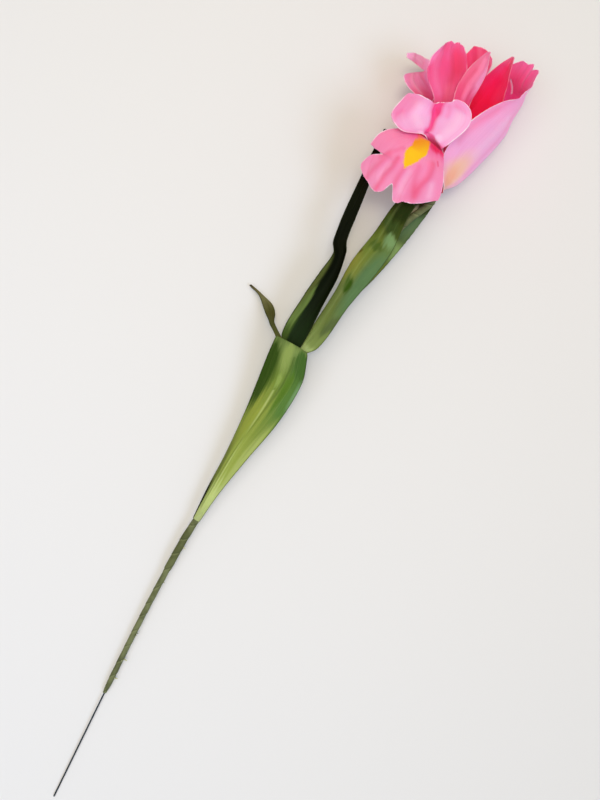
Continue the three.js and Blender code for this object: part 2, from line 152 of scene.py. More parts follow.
# The cut of each blade in mm. root: the way it faces on the bloom, its ring, where it starts and stops
# up the bloom, and its spread. seat: the stem's point that a leaf's foot is at, its shift up the stem,
# the way it faces and its spread. A row has its left edge, middle and right edge. end and left say how
# much of the full length and of the left half is there, so they cut the lobes and notches.
CUTS = {
    "fall_front": {
        "root": (-15, "fall", -3, 1, ROOT_SPREAD),
        "rows": [
            (17, 210.5, 38.5, 21, 212, 43, 25, 213, 44.5),
            (7, 215, 51, 12, 216, 53.5, 24, 218.5, 50),
            (-5, 219.5, 57, 3.5, 220, 58.5, 22.5, 219, 53),
            (-12, 217, 57.5, 6, 209.5, 60.5, 26, 213.5, 52),
            (-21.5, 209, 56, 5, 204, 61, 29.5, 208, 50),
            (-23.5, 198, 51.5, 4, 197, 59, 33.5, 200.5, 47),
            (-22.5, 187, 47.5, 3.5, 188, 54, 34.5, 191.5, 44),
            (-17, 177, 44, 6, 175.5, 48, 29, 179.5, 41),
        ],
        "end": [(-1, 0.9), (-0.92, 0.935), (-0.75, 0.965), (-0.62, 0.99), (-0.46, 0.995),
            (-0.26, 0.975), (-0.12, 0.935), (-0.05, 0.91), (0, 0.945), (0.05, 0.985), (0.13, 1),
            (0.26, 0.993), (0.35, 0.973), (0.55, 0.967), (0.76, 0.94), (0.89, 0.907), (1, 0.87)],
        "left": [(0, 1), (0.77, 1), (0.776, 0.94), (0.781, 0.62), (0.79, 0.57), (0.803, 0.66),
            (0.825, 0.81), (0.87, 0.92), (0.91, 0.97), (0.945, 1), (1, 1)],
    },
    "fall_right": {
        "root": (110, "fall", -2, 0, ROOT_SPREAD),
        "rows": [
            (28.5, 213, 41.5, 42, 215.5, 28, 34.5, 223.5, 19),
            (22.5, 223.5, 47.5, 49.5, 241, 24, 38, 251, 10),
            (27.5, 247, 53, 54.5, 264.5, 22, 39, 274, 3.5),
            (34.5, 261.5, 52.5, 54, 278.5, 21, 40, 292.5, 0.5),
            (43.5, 274, 50, 54, 291.5, 23, 38.5, 306, 2.5),
            (48.5, 280, 47, 51, 301, 26, 35, 313, 8),
            (49.5, 284.5, 44, 52, 312, 32, 34, 323, 14),
        ],
        "end": [(-1, 0.97), (-0.7, 0.94), (-0.45, 0.955), (-0.2, 0.985), (0, 1), (0.15, 0.985),
            (0.27, 0.965), (0.4, 1), (0.6, 0.98), (0.8, 0.99), (1, 0.95)],
    },
    "fall_back": {
        "root": (225, "fall", -4, -1, -ROOT_SPREAD),
        "rows": [
            (13, 216, 26, 22, 227.5, 16, 29, 234, 14),
            (-1.5, 237, 28, 13.5, 256, 6, 27, 264.5, 8),
            (-14, 253, 31, 4, 278, 2.5, 25, 288, 9),
            (-25, 256, 34, -3, 291.5, 2, 22.5, 301, 14),
            (-32, 266.5, 35, -6.5, 297, 4, 21, 306.5, 20),
            (-34, 277.5, 34, -11.5, 304, 9, 11, 320.5, 22),
        ],
        "end": [(-1, 0.985), (-0.86, 1), (-0.66, 0.98), (-0.46, 0.943), (-0.2, 0.91), (0, 0.9),
            (0.3, 0.93), (0.46, 0.957), (0.58, 0.985), (0.67, 1), (0.73, 0.982), (0.8, 0.975),
            (0.92, 0.947), (1, 0.88)],
        "left": [(0, 1), (0.72, 0.96), (0.79, 0.98), (0.805, 0.9), (0.815, 0.55), (0.83, 0.52),
            (0.85, 0.6), (0.89, 0.71), (0.93, 0.9), (0.95, 1), (1, 1)],
    },
    "crest_front": {
        "root": (-8, "crest", -2, 2, ROOT_SPREAD),
        "rows": [
            (20, 214, 38.5, 24, 216.5, 41, 29, 219, 39),
            (10.5, 221, 49, 15, 222, 51.5, 20, 223, 49.5),
            (4.5, 220, 61, 10, 223.5, 59.5, 20, 220, 57),
            (-9.5, 214, 64.5, 8, 226.5, 60, 23, 225, 59.5),
            (-20, 220, 63.5, 6, 234, 60, 28, 240.5, 60),
            (-19, 232, 64, 5, 239.5, 61.5, 24, 249.5, 60),
            (-16, 240.5, 63.5, 3.5, 244.5, 61.5, 12, 253, 61),
        ],
        "end": [(-1, 0.96), (-0.75, 1), (-0.42, 0.99), (-0.28, 0.975), (-0.2, 0.953), (-0.12, 0.975),
            (-0.05, 1), (0.12, 1), (0.3, 0.99), (0.55, 0.985), (0.7, 1), (0.88, 0.985), (1, 0.945)],
    },
    "crest_right": {
        "root": (105, "crest", -2, 2, ROOT_SPREAD),
        "rows": [
            (31, 231.5, 35, 35, 232.5, 30, 33, 238.5, 23),
            (30, 243.5, 41, 40.5, 248.5, 30, 36, 259, 21),
            (34, 253.5, 44, 45, 261.5, 30, 40, 273.5, 20),
            (37.5, 262, 44, 46.5, 271.5, 31, 41, 281.5, 23),
        ],
        "end": [(-1, 0.96), (-0.5, 1), (0, 0.9), (0.5, 1), (1, 0.96)],
    },
    "crest_back": {
        "root": (225, "crest", -2, 2, -ROOT_SPREAD),
        "rows": [
            (13, 228.5, 25, 19.5, 234, 19.5, 25.5, 238.5, 18),
            (3.5, 240, 28, 13, 252, 15, 22.5, 258, 15.5),
            (-1.5, 250, 32, 8, 265, 15, 19, 269.5, 17),
            (-2.5, 261, 34, 3, 274, 20, 11.5, 276, 22),
        ],
        "end": [(-1, 0.96), (-0.5, 1), (0, 0.9), (0.5, 1), (1, 0.96)],
    },
    "standard_left": {
        "root": (-70, "standard", -1, 6, ROOT_SPREAD),
        "rows": [
            (13.5, 225.5, 33, 17, 226.5, 33, 21, 230, 32),
            (3.5, 238.5, 41, 9, 244.5, 38, 16, 250, 35),
            (-1.5, 250.5, 48, 4.5, 257.5, 42, 13.5, 263.5, 37),
            (-13, 260.5, 50, -2.5, 271, 42.5, 10.5, 279, 38),
            (-16.5, 272, 50, -8, 282.5, 43, 4, 290, 40),
            (-14, 286, 48, -10.5, 293, 44, -2, 296.5, 41),
        ],
        "end": [(-1, 0.98), (-0.1, 1), (0.25, 0.985), (0.6, 1), (1, 0.98)],
    },
    "standard_front": {
        "root": (45, "standard", -1, 6, ROOT_SPREAD),
        "rows": [
            (21, 226.5, 41, 25, 226.5, 42, 29.5, 228, 39),
            (15, 242, 48, 21.5, 242.5, 49, 28, 246, 44),
            (10, 255, 51, 16, 256, 52, 22, 258.5, 46),
            (8, 267, 53, 15, 267.5, 54, 21.5, 272, 48),
            (9.5, 278.5, 55, 16, 279, 56, 20.5, 281.5, 52),
            (14.5, 290, 57, 15, 291, 57, 16.5, 292, 56.5),
        ],
    },
    "standard_right": {
        "root": (165, "standard", -1, 6, -ROOT_SPREAD),
        "rows": [
            (21.5, 233, 26, 26, 235.5, 22, 30, 237, 24.5),
            (18, 252.5, 29, 24.5, 258, 20, 32.5, 257, 26),
            (18, 270, 31, 28, 279, 20, 41.5, 276.5, 30),
            (20, 283.5, 34, 29.5, 289.5, 24, 39, 286.5, 33),
            (24.5, 295.5, 37, 31, 297.5, 31, 36, 295.5, 36),
            (31, 306.5, 39, 31.5, 307.5, 38.5, 32.5, 307, 39),
        ],
    },
    "lower_leaf": {
        "seat": (3, -2, 0, 60),
        "rows": [
            (-7.5, -61, 10.5, -3, -60.5, 14.5, 2, -62, 12.5),
            (-8, -34, 13, -3, -28, 19, 7.5, -30, 16),
            (-10.5, 0, 16.5, 0, 7.5, 24.5, 14.5, 7, 20),
            (-13.5, 25, 20, 1, 34.5, 28.5, 15.5, 38.5, 24),
            (-16, 45.5, 25, -2, 50, 32.5, 10.5, 54.5, 28),
            (-17, 59, 29, -3.5, 59.5, 33, 7.5, 59.5, 29),
            (-16.5, 58.5, 26, -6.5, 58, 30, 3.5, 57.5, 27),
            (-18, 59.5, 24.5, -11.5, 58, 27.5, -4.5, 57, 26.5),
            (-21.5, 62, 22, -18, 61.5, 22.5, -13.5, 60.5, 23),
            (-27, 66, 19, -26, 67, 15.5, -24, 68, 12.5),
            (-32, 70, 13, -30.5, 73, 8, -28, 75, 4),
            (-39, 76, 8.5, -36.5, 78.5, 4.5, -34, 80.5, 1.5),
            (-46.5, 81.5, 5.5, -45.5, 82, 3.5, -44, 83, 1),
            (-55, 84, 3, -54.5, 84.5, 3, -54, 85, 2.5),
        ],
    },
    "upper_leaf": {
        "seat": (6, -12, -60, 55),
        "rows": [
            (-7, 54, 20.5, -3.5, 53.5, 21, -0.5, 54, 22),
            (-15, 63.5, 22, -6.5, 63, 21.5, 2, 63, 24),
            (-14, 94, 30, -5, 94, 24, 1, 96.5, 27),
            (-12, 114, 32, -3.5, 115.5, 25, 0.5, 117, 29),
            (-10.5, 129, 33, -5, 131, 28, -3, 134.5, 31),
            (-14.5, 136.5, 33, -11.5, 139.5, 29, -6.5, 142.5, 28),
            (-17, 151.5, 34, -14, 153.5, 31, -9, 157.5, 27),
            (-20, 185.5, 35, -17, 187.5, 32, -13, 188.5, 27),
            (-21.5, 210.5, 35, -20, 211.5, 33, -18, 213, 30),
            (-22, 221.5, 35, -21, 222, 34.5, -20.5, 222.5, 34),
        ],
    },
    "sheath_leaf": {
        "seat": (6, 1, -75, -72),
        "rows": [
            (13, 66.5, 26.5, 1.5, 74.5, 21, 11, 68, 13),
            (17.5, 102.5, 30, 3.5, 106.5, 24, 17, 107, 18),
            (22.5, 127.5, 33, 3.5, 132, 27, 23.5, 130, 20),
            (25, 149.5, 35, 7.5, 156, 30, 28.5, 153, 22),
            (23, 173, 36, 10, 178, 32, 33, 181.5, 24),
            (24, 189, 36.5, 14, 195.5, 32.5, 35, 205, 20),
        ],
        "end": [(-1, 0.95), (-0.5, 1), (0, 1), (0.5, 1), (1, 1)],
    },
}

# Pressed folds of each blade: height in mm (below 0 sinks), width in mm, share of the deep colour in it
# as painted shade (below 0 for the pale colour as painted highlight), and the line that it follows as
# places along and across the blade
FOLDS = {
    "fall_front": [
        (-0.5, 2.0, 0.45, [(0.76, -0.44), (0.8, -0.48), (0.87, -0.58), (0.94, -0.76)]),
        (-0.7, 1.9, 0.65, [(0.75, -0.23), (0.83, -0.23), (0.9, -0.31), (0.98, -0.46)]),
        (-0.8, 2.8, 0.65, [(0.62, 0.62), (0.75, 0.6), (0.85, 0.52), (0.92, 0.53)]),
        (-0.3, 2.0, 0.4, [(0.72, 0.3), (0.8, 0.33), (0.9, 0.45)]),
        (-0.35, 1.5, 0.35, [(0.8, -0.6), (0.74, -0.49), (0.69, -0.36), (0.645, -0.3)]),
        (-0.3, 0.7, 1.0, [(0.56, 0.78), (0.6, 0.8)]),
        (-0.35, 2.2, 0.5, [(0.92, 0.0), (0.8, 0.03)]),
        (0.35, 2.6, -0.45, [(0.8, 0.14), (0.93, 0.2)]),
        (0.3, 2.6, -0.55, [(0.8, 0.74), (0.88, 0.8)]),
        (0.3, 2.4, -0.35, [(0.82, -0.33), (0.92, -0.43)]),
    ],
    "crest_front": [
        (-1.7, 3.4, 1.5, [(1.0, 0.0), (0.93, -0.03), (0.85, -0.03)]),
        (-1.5, 1.9, 1.2, [(0.86, -0.03), (0.74, -0.03), (0.64, -0.06), (0.56, -0.3), (0.5, -0.6)]),
        (-0.4, 1.4, 0.25, [(0.79, -0.8), (0.75, -0.9), (0.7, -0.97)]),
        (-0.3, 1.3, 0.3, [(0.66, -0.97), (0.58, -0.99), (0.54, -0.95)]),
        (0.6, 4.0, -0.5, [(0.68, -0.42), (0.85, -0.5)]),
        (0.6, 4.0, -0.6, [(0.62, 0.6), (0.8, 0.66)]),
        (-0.3, 2.0, 0.3, [(0.92, 0.36), (0.8, 0.3)]),
        (-0.35, 1.8, 0.3, [(0.93, 0.62), (0.86, 0.8)]),
    ],
    "fall_right": [
        (-0.4, 2.4, 0.35, [(0.42, -0.9), (0.49, -0.92), (0.57, -0.89), (0.64, -0.85)]),
        (0.4, 3.5, -0.4, [(0.4, -0.5), (0.62, -0.45)]),
        (-0.3, 2.4, 0.2, [(0.3, -0.2), (0.6, -0.25), (0.8, -0.4)]),
        (-0.35, 1.8, 0.1, [(0.83, 0.3), (0.99, 0.24)]),
        (-0.35, 1.8, 0.08, [(0.8, 0.55), (0.97, 0.5)]),
        (0.5, 1.8, -0.12, [(0.85, 0.4), (0.98, 0.36)]),
        (0.8, 0.7, -1.3, [(0.84, 0.87), (0.8, 0.79), (0.75, 0.76)]),
    ],
    "fall_back": [
        (-0.5, 2.2, 0.4, [(0.66, -0.5), (0.8, -0.62), (0.95, -0.8)]),
        (0.5, 2.2, -0.4, [(0.6, -0.78), (0.72, -0.82), (0.8, -0.8)]),
        (0.4, 1.8, -0.4, [(0.9, -0.62), (0.95, -0.85)]),
        (-0.6, 2.0, 0.4, [(0.75, 0.5), (0.97, 0.6)]),
        (0.4, 2.0, -0.15, [(0.8, 0.7), (0.97, 0.78)]),
        (-0.5, 2.2, 0.4, [(0.6, -0.1), (0.9, -0.2)]),
    ],
    "crest_right": [(-0.9, 1.8, 0.8, [(0.5, 0.0), (1.0, 0.0)])],
    "crest_back": [(-0.9, 1.8, 0.8, [(0.5, 0.0), (1.0, 0.0)])],
    "standard_left": [
        (-0.6, 2.4, 0.2, [(0.5, 0.3), (0.62, 0.35), (0.78, 0.45), (0.93, 0.3)]),
        (0.5, 3.0, -0.3, [(0.6, -0.5), (0.75, -0.6), (0.9, -0.5)]),
        (0.3, 2.2, -0.1, [(0.85, 0.05), (0.97, 0.1)]),
        (-0.25, 2.0, 0.1, [(0.8, -0.2), (0.97, -0.25)]),
    ],
    "standard_front": [
        (0.5, 2.2, -0.4, [(0.6, 0.0), (0.8, 0.12), (0.93, 0.0)]),
        (-0.4, 1.6, 0.4, [(0.5, -0.45), (0.68, -0.6), (0.84, -0.5)]),
        (-0.4, 1.6, 0.4, [(0.5, 0.45), (0.7, 0.6)]),
    ],
    "standard_right": [
        (-0.4, 2.2, 0.4, [(0.45, -0.2), (0.7, -0.1), (0.9, 0.0)]),
        (0.3, 2.2, 0.0, [(0.6, 0.4), (0.85, 0.4)]),
    ],
    "lower_leaf": [
        (-0.35, 0.7, 0.8, [(0.03, -0.35), (0.08, -0.2), (0.14, -0.05), (0.2, 0.07), (0.36, 0.3)]),
        (0.35, 0.6, -0.8, [(0.03, -0.2), (0.08, -0.06), (0.13, 0.04), (0.19, 0.0), (0.26, -0.06)]),
        (-0.25, 1.8, 0.1, [(0.1, 0.42), (0.2, 0.45), (0.4, 0.6)]),
        (-0.2, 1.8, 0.1, [(0.1, -0.45), (0.2, -0.48), (0.4, -0.5)]),
    ],
    "upper_leaf": [(0.3, 0.8, -0.1, [(0.15, 0.0), (0.4, 0.0), (0.8, 0.0)])],
    "sheath_leaf": [
        (0.35, 0.9, -0.2, [(0.1, -0.55), (0.5, -0.55), (0.9, -0.55)]),
        (-0.25, 1.8, 0.2, [(0.2, -0.75), (0.6, -0.78), (0.95, -0.75)]),
    ],
}

# Waves of each free edge: height in mm, waves along it and how far into one the first starts
WAVES = {
    "fall_front": [(0.3, 5.0, 0.1), (0.12, 11.0, 0.4)],
    "fall_right": [(0.35, 4.0, 0.3), (0.12, 9.0, 0.6)],
    "fall_back": [(0.4, 4.0, 0.0), (0.12, 9.0, 0.2)],
    "crest_front": [(0.3, 2.0, 0.2)],
    "crest_right": [(0.2, 3.0, 0.5)],
    "crest_back": [(0.2, 3.0, 0.1)],
    "standard_left": [(0.3, 3.0, 0.4), (0.1, 8.0, 0.0)],
    "standard_front": [(0.25, 3.0, 0.6)],
    "standard_right": [(0.25, 3.0, 0.2)],
    "lower_leaf": [(0.25, 7.0, 0.3)],
    "upper_leaf": [(0.2, 7.0, 0.0)],
    "sheath_leaf": [(0.2, 6.0, 0.5)],
}


# Dye of each petal: ground colours of the outer and inner face along it, the deep and the pale colour and
# how strongly they are brushed on in streaks, which the folds also take as painted shade and painted
# highlight, the colour of the cut rim, and the patches of each face, mostly sprayed dye and a few painted
# shade and painted highlight: colour, place across and along, reach, turn in degrees and strength
DYES = {
    "fall_front": {
        "outer": [(0.3, "#e6497a"), (0.6, "#f184ab"), (1.0, "#f490b8")],
        "inner": [
            (0.36, "#dc1c55"), (0.47, "#ea5890"), (0.57, "#f083ac"), (0.75, "#f186b0"), (1.0, "#f290b6"),
        ],
        "deep": "#e8527c", "pale": "#f8b2d0", "rim": "#fde6f0", "brush": (0.3, 0.15),
        "inner_patches": [
            ("#ef739d", (0.45, 0.92), (0.3, 0.12), 0, 0.5),
            ("#df1d58", (0.75, 0.46), (0.5, 0.055), 0, 1.0),
            ("#f2605f", (0.1, 0.482), (0.42, 0.04), 6, 1.0),
        ],
    },
    "fall_right": {
        "outer": [
            (0.1, "#f6b3ab"), (0.2, "#feaec0"), (0.34, "#ffa6d2"), (0.8, "#ff9ecc"), (1.0, "#ffa0cb"),
        ],
        "inner": [(0.3, "#f81a60"), (0.7, "#ff3892"), (0.85, "#ff468c"), (1.0, "#ff66a8")],
        "deep": "#f5709f", "pale": "#ffbfe0", "rim": "#fff0f6", "brush": (0.2, 0.2),
        "outer_patches": [
            ("#fbb8a4", (-0.64, 0.28), (0.42, 0.16), 8, 1.0),
            ("#f8a286", (-0.72, 0.23), (0.3, 0.12), 8, 0.7),
            ("#fb7db0", (-0.92, 0.62), (0.2, 0.22), 0, 0.5),
        ],
    },
    "fall_back": {
        "outer": [(0.2, "#f3a6b0"), (0.5, "#f7a0c8"), (1.0, "#f59cc6")],
        "inner": [(0.4, "#ff4478"), (0.6, "#ff68a2"), (0.72, "#ff96cc"), (1.0, "#ffb4e0")],
        "deep": "#ff5a94", "pale": "#ffbcdc", "rim": "#ffe2ee", "brush": (0.2, 0.1),
        "inner_patches": [("#f24077", (0.6, 0.9), (0.66, 0.4), 0, 1.0)],
    },
    "crest_front": {
        "outer": [
            (0.4, "#e0306c"), (0.48, "#ec5a98"), (0.56, "#ec9bc9"), (0.75, "#eca4cf"), (1.0, "#e898c8"),
        ],
        "inner": [(0.3, "#e23a70"), (1.0, "#f48fbd")],
        "deep": "#e84488", "pale": "#f8c0de", "rim": "#fdeaf3", "brush": (0.2, 0.2),
        "outer_patches": [
            # Painted shade along the left edge
            ("#e27ca8", (-0.88, 0.86), (0.52, 0.2), 0, 0.85),
            ("#fbbcde", (0.5, 0.53), (0.36, 0.09), 0, 1.0),
            # Painted highlight along the lower left edge
            ("#fbb4d6", (-0.75, 0.52), (0.4, 0.06), 0, 0.9),
        ],
    },
    "crest_inner": {
        "outer": [(0.4, "#e8487c"), (1.0, "#f48cc0")],
        "inner": [(0.4, "#e23a66"), (1.0, "#ee5f92")],
        "deep": "#e03a72", "pale": "#f8aed2", "rim": "#fbd0e2", "brush": (0.3, 0.2),
    },
    "standard_left": {
        "outer": [(0.4, "#f2578a"), (0.6, "#f05890"), (0.78, "#e54c86"), (1.0, "#e2588c")],
        "inner": [(0.4, "#e23660"), (1.0, "#ec4d7c")],
        "deep": "#e5386c", "pale": "#f487b8", "rim": "#f9bcd6", "brush": (0.08, 0.06),
        "outer_patches": [
            ("#f47cb4", (-0.95, 0.9), (0.45, 0.14), 0, 0.9),
            ("#ff76ac", (0.25, 0.6), (0.5, 0.1), 0, 0.8),
            # Painted shade by the front standard, which stands in front of this part
            ("#e53d70", (0.55, 0.82), (0.5, 0.16), 0, 0.8),
        ],
    },
    "standard_front": {
        "outer": [(0.4, "#e43f72"), (0.6, "#e2487c"), (0.8, "#e6668e"), (1.0, "#e27098")],
        "inner": [(0.4, "#e23660"), (1.0, "#ee5a88")],
        "deep": "#e44a7c", "pale": "#f694ba", "rim": "#fccfe0", "brush": (0.2, 0.15),
        "outer_patches": [("#ff98c4", (0.8, 0.78), (0.65, 0.18), 0, 0.9)],
    },
    "standard_right": {
        "outer": [(0.4, "#e8305e"), (1.0, "#ee5884")],
        "inner": [(0.4, "#f60a5c"), (0.6, "#ee0e54"), (0.78, "#ee1c66"), (0.9, "#e83c78"), (1.0, "#e4688c")],
        "deep": "#e80f52", "pale": "#f24a80", "rim": "#f3859f", "brush": (0.25, 0.1),
        "inner_patches": [("#f83070", (0.7, 0.72), (0.5, 0.2), 0, 0.7)],
    },
}

# Print of each leaf: ground colours along it, dark and light ink, which the folds also take as painted
# shade and painted highlight, and patches as for the petals, mostly print and a few painted shade and
# painted highlight
PRINTS = {
    "lower_leaf": {
        "ground": [
            (0.0, "#a8b478"), (0.06, "#b0c072"), (0.12, "#909e48"), (0.2, "#808f3c"), (0.28, "#647a30"),
            (0.4, "#708546"), (0.46, "#566a38"), (0.6, "#5b6030"), (0.8, "#525226"), (0.9, "#76744c"),
            (0.96, "#6c6440"), (1.0, "#17130c"),
        ],
        "dark": "#3c521c", "light": "#b4c27c", "rim": "#262c12",
        "patches": [
            ("#687333", (-0.7, 0.12), (0.5, 0.1), 0, 1.0),
            ("#8c983e", (-0.4, 0.205), (0.6, 0.06), 0, 0.9),
            ("#879a52", (-0.1, 0.37), (0.4, 0.1), 0, 0.8),
            ("#537534", (0.8, 0.275), (0.8, 0.13), 0, 1.1),
            ("#406026", (0.85, 0.345), (0.75, 0.1), 0, 1.2),
            # Darker left part: partly print, partly painted shade of the side that slopes away from the
            # light
            ("#304812", (-0.92, 0.325), (0.74, 0.13), 0, 1.5),
            ("#52721f", (0.4, 0.265), (0.26, 0.06), 0, 0.9),
            ("#849a4c", (-0.08, 0.285), (0.2, 0.03), 0, 0.9),
            ("#788a3a", (-0.22, 0.24), (0.2, 0.04), 0, 0.8),
            # Painted sheen along the right edge
            ("#6f9260", (0.97, 0.265), (0.2, 0.05), 0, 0.9),
            ("#9fac60", (0.85, 0.12), (0.35, 0.1), 0, 0.9),
            ("#b4c178", (0.5, 0.06), (0.6, 0.045), 0, 0.9),
            # Painted shadow: a black crescent by the left of the wrapped foot
            ("#060702", (-1.0, 0.05), (0.42, 0.06), 0, 2.0),
        ],
    },
    "upper_leaf": {
        # The near-black ground and dark ink are painted shade, for the leaf's underside in shadow
        "ground": [
            (0.0, "#1c2a12"), (0.2, "#182810"), (0.32, "#0c1404"), (0.45, "#080c01"), (0.6, "#0a0d02"),
            (1.0, "#121602"),
        ],
        "dark": "#060a02", "light": "#1c240c", "rim": "#242a12",
        "patches": [
            ("#3e521e", (-0.85, 0.21), (0.6, 0.12), 0, 1.5),
            ("#62763a", (-0.75, 0.29), (0.42, 0.085), 0, 1.5),
            ("#58602e", (-1.05, 0.39), (0.48, 0.16), 0, 1.3),
        ],
    },
    "sheath_leaf": {
        "ground": [
            (0.0, "#98ac66"), (0.08, "#93a662"), (0.15, "#76884a"), (0.26, "#64743a"), (0.38, "#62703a"),
            (0.5, "#727c34"), (0.62, "#64742e"), (0.74, "#444f18"), (0.86, "#2b350b"), (1.0, "#262e08"),
        ],
        "dark": "#2b3a14", "light": "#8f9e60", "rim": "#39451f",
        "patches": [
            ("#55744a", (-0.98, 0.46), (0.44, 0.3), 0, 1.1),
            ("#7c7f34", (-0.2, 0.5), (0.4, 0.1), 0, 0.9),
            ("#544a18", (-0.22, 0.575), (0.13, 0.02), 0, 0.9),
            ("#33500f", (-0.6, 0.41), (0.2, 0.055), 0, 1.2),
            ("#33461a", (-0.65, 0.76), (0.5, 0.07), 0, 1.1),
            ("#42581e", (-0.6, 0.635), (0.3, 0.03), 0, 0.9),
            ("#1f2c08", (-0.8, 0.88), (0.5, 0.12), 0, 1.3),
            ("#6f8e5b", (-0.86, 0.69), (0.24, 0.05), 0, 1.0),
            ("#536a46", (0.9, 0.82), (0.4, 0.14), 0, 1.0),
            ("#7f985a", (0.95, 0.66), (0.4, 0.08), 0, 1.0),
            ("#363f18", (0.9, 0.94), (0.5, 0.11), 0, 1.2),
            # Painted highlight near the mouth
            ("#c4c8a8", (0.74, 0.85), (0.07, 0.07), 0, 1.2),
            ("#526238", (-0.92, 0.235), (0.3, 0.05), 0, 1.0),
            ("#a6ba7c", (-0.8, 0.07), (0.5, 0.05), 0, 0.8),
        ],
    },
}


def linear(shade):
    """An sRGB hex colour as the linear values that Blender's sockets take."""
    parts = [int(shade[k:k + 2], 16) / 255 for k in (1, 3, 5)]
    flat = [v / 12.92 if v <= 0.04045 else ((v + 0.055) / 1.055) ** 2.4 for v in parts]
    return (*flat, 1.0)


def node(tree, kind, feeds=(), out=0, **settings):
    """Adds one node with its settings, feeds its inputs in order or by name, and gives one output."""
    made = tree.nodes.new(kind)
    for name, value in settings.items():
        setattr(made, name, value)
    for place, value in feeds.items() if isinstance(feeds, dict) else enumerate(feeds):
        if isinstance(value, bpy.types.NodeSocket):
            tree.links.new(value, made.inputs[place])
        else:
            made.inputs[place].default_value = value
    return made.outputs[out] if made.outputs else made


# The shapes of the blades


def unit(way):
    """A direction, or a grid of them, at length 1."""
    return way / np.maximum(np.linalg.norm(way, axis=-1, keepdims=True), 1e-12)


def distances(points, axis=0):
    """How far each point of a line or grid lies from the first one, measured along one of its axes."""
    steps = np.linalg.norm(np.diff(points, axis=axis), axis=-1)
    start = np.zeros_like(np.take(steps, [0], axis))
    return np.concatenate([start, np.cumsum(steps, axis=axis)], axis=axis)


def read_at(stops, run, values):
    """Reads rows of three values at stops along a run."""
    return np.stack([np.interp(stops, run, values[:, k]) for k in range(3)], -1)


def along(points, t):
    """Reads a line of points smoothly at places t from 0 to 1, as the solids do."""
    points = np.asarray(points, float)
    last = len(points) - 1
    place = np.clip(t, 0, 1) * last
    i = np.minimum(place.astype(int), last - 1)
    f = (place - i)[..., None]
    longer = np.vstack([2 * points[0] - points[1], points, 2 * points[-1] - points[-2]])
    span = np.linalg.norm(np.diff(longer, axis=0), axis=1)
    way = (longer[2:] - longer[:-2]) / (span[1:] + span[:-1])[:, None]
    leave = way[i] * span[i + 1][..., None]
    arrive = way[i + 1] * span[i + 1][..., None]
    step = points[i + 1] - points[i]
    square = 3 * step - 2 * leave - arrive
    cube = leave + arrive - 2 * step
    return points[i] + leave * f + square * f ** 2 + cube * f ** 3


def evenly(points, spacing):
    """A smooth line through points, resampled to a spacing in mm, and the distance run at each."""
    fine = along(points, np.linspace(0, 1, 4000))
    run = distances(fine)
    stops = np.linspace(0, run[-1], round(run[-1] / spacing) + 1)
    return read_at(stops, run, fine), stops


def outline(pairs, x):
    """Reads pairs of place and value with straight lines between them."""
    places, values = zip(*pairs)
    return np.interp(x, places, values)


def rounded(pairs, x, reach):
    """Reads pairs as outline does, with their corners rounded over a reach."""
    return np.mean([outline(pairs, x + shift) for shift in np.linspace(-reach, reach, 5)], axis=0)


def hug(centre, way, facing, radius, spread):
    """Three points of an arc round a centre line. Facing 0 is the upper side, 90 the right."""
    way = unit(way)
    right = unit(np.cross(way, (0, 0, 1)))
    up = np.cross(right, way)
    turns = np.radians([facing - spread, facing, facing + spread])
    return [centre + radius * (math.cos(a) * up + math.sin(a) * right) for a in turns]


def rows_of(cut):
    """All rows of a blade: its root on the core or its seat on the stem, and the rows of its cut."""
    if "root" in cut:
        facing, ring, start, stop, spread = cut["root"]
        rows = [hug(BLOOM + BLOOM_WAY * height, BLOOM_WAY, facing, RINGS[ring], spread)
                for height in (start, stop)]
    else:
        index, shift, facing, spread = cut["seat"]
        way = unit(np.subtract(TAPED_STEM[index + 1], TAPED_STEM[index - 1]))
        rows = [hug(np.array(TAPED_STEM[index]) + way * shift, way, facing, LEAF_SEAT, spread)]
    return np.array([*rows, *(np.reshape(row, (3, 3)) for row in cut["rows"])], float)


def surface(rows, s, t):
    """Points of a blade's middle surface at places s along and t across it."""
    left, middle, right = (along(rows[:, side], s) for side in range(3))
    t = t[..., None]
    return left * t * (t - 1) / 2 + middle * (1 - t * t) + right * t * (t + 1) / 2


def smooth_noise(places, waves, seed):
    """A wavy value from -1 to 1 along places from 0 to 1, the same at each run."""
    draw = np.random.default_rng(seed)
    total = np.zeros_like(places)
    for k in range(1, waves + 1):
        total += np.sin(math.tau * (places * k * 1.7 + draw.random())) * draw.uniform(0.3, 1)
    return total / math.sqrt(waves)


def facing_of(grid):
    """Normals of a grid of points, on the side that the solids call their upper face."""
    return unit(np.cross(np.gradient(grid, axis=1), np.gradient(grid, axis=0)))


def line_distance(grid, line):
    """Shortest distance in mm from each point of a grid to a line of points."""
    nearest = np.full(grid.shape[:2], np.inf)
    for start, stop in zip(line, line[1:]):
        way = stop - start
        share = np.clip((grid - start) @ way / (way @ way + 1e-12), 0, 1)
        nearest = np.minimum(nearest, np.linalg.norm(grid - start - share[..., None] * way, axis=-1))
    return nearest


def mark(mesh, label, values, kind="FLOAT"):
    """Keeps a value, or a direction, at each point of a mesh for its nodes and materials."""
    attribute = mesh.attributes.new(label, kind, "POINT")
    field = "value" if kind == "FLOAT" else "vector"
    attribute.data.foreach_set(field, np.asarray(values, np.float32).ravel())


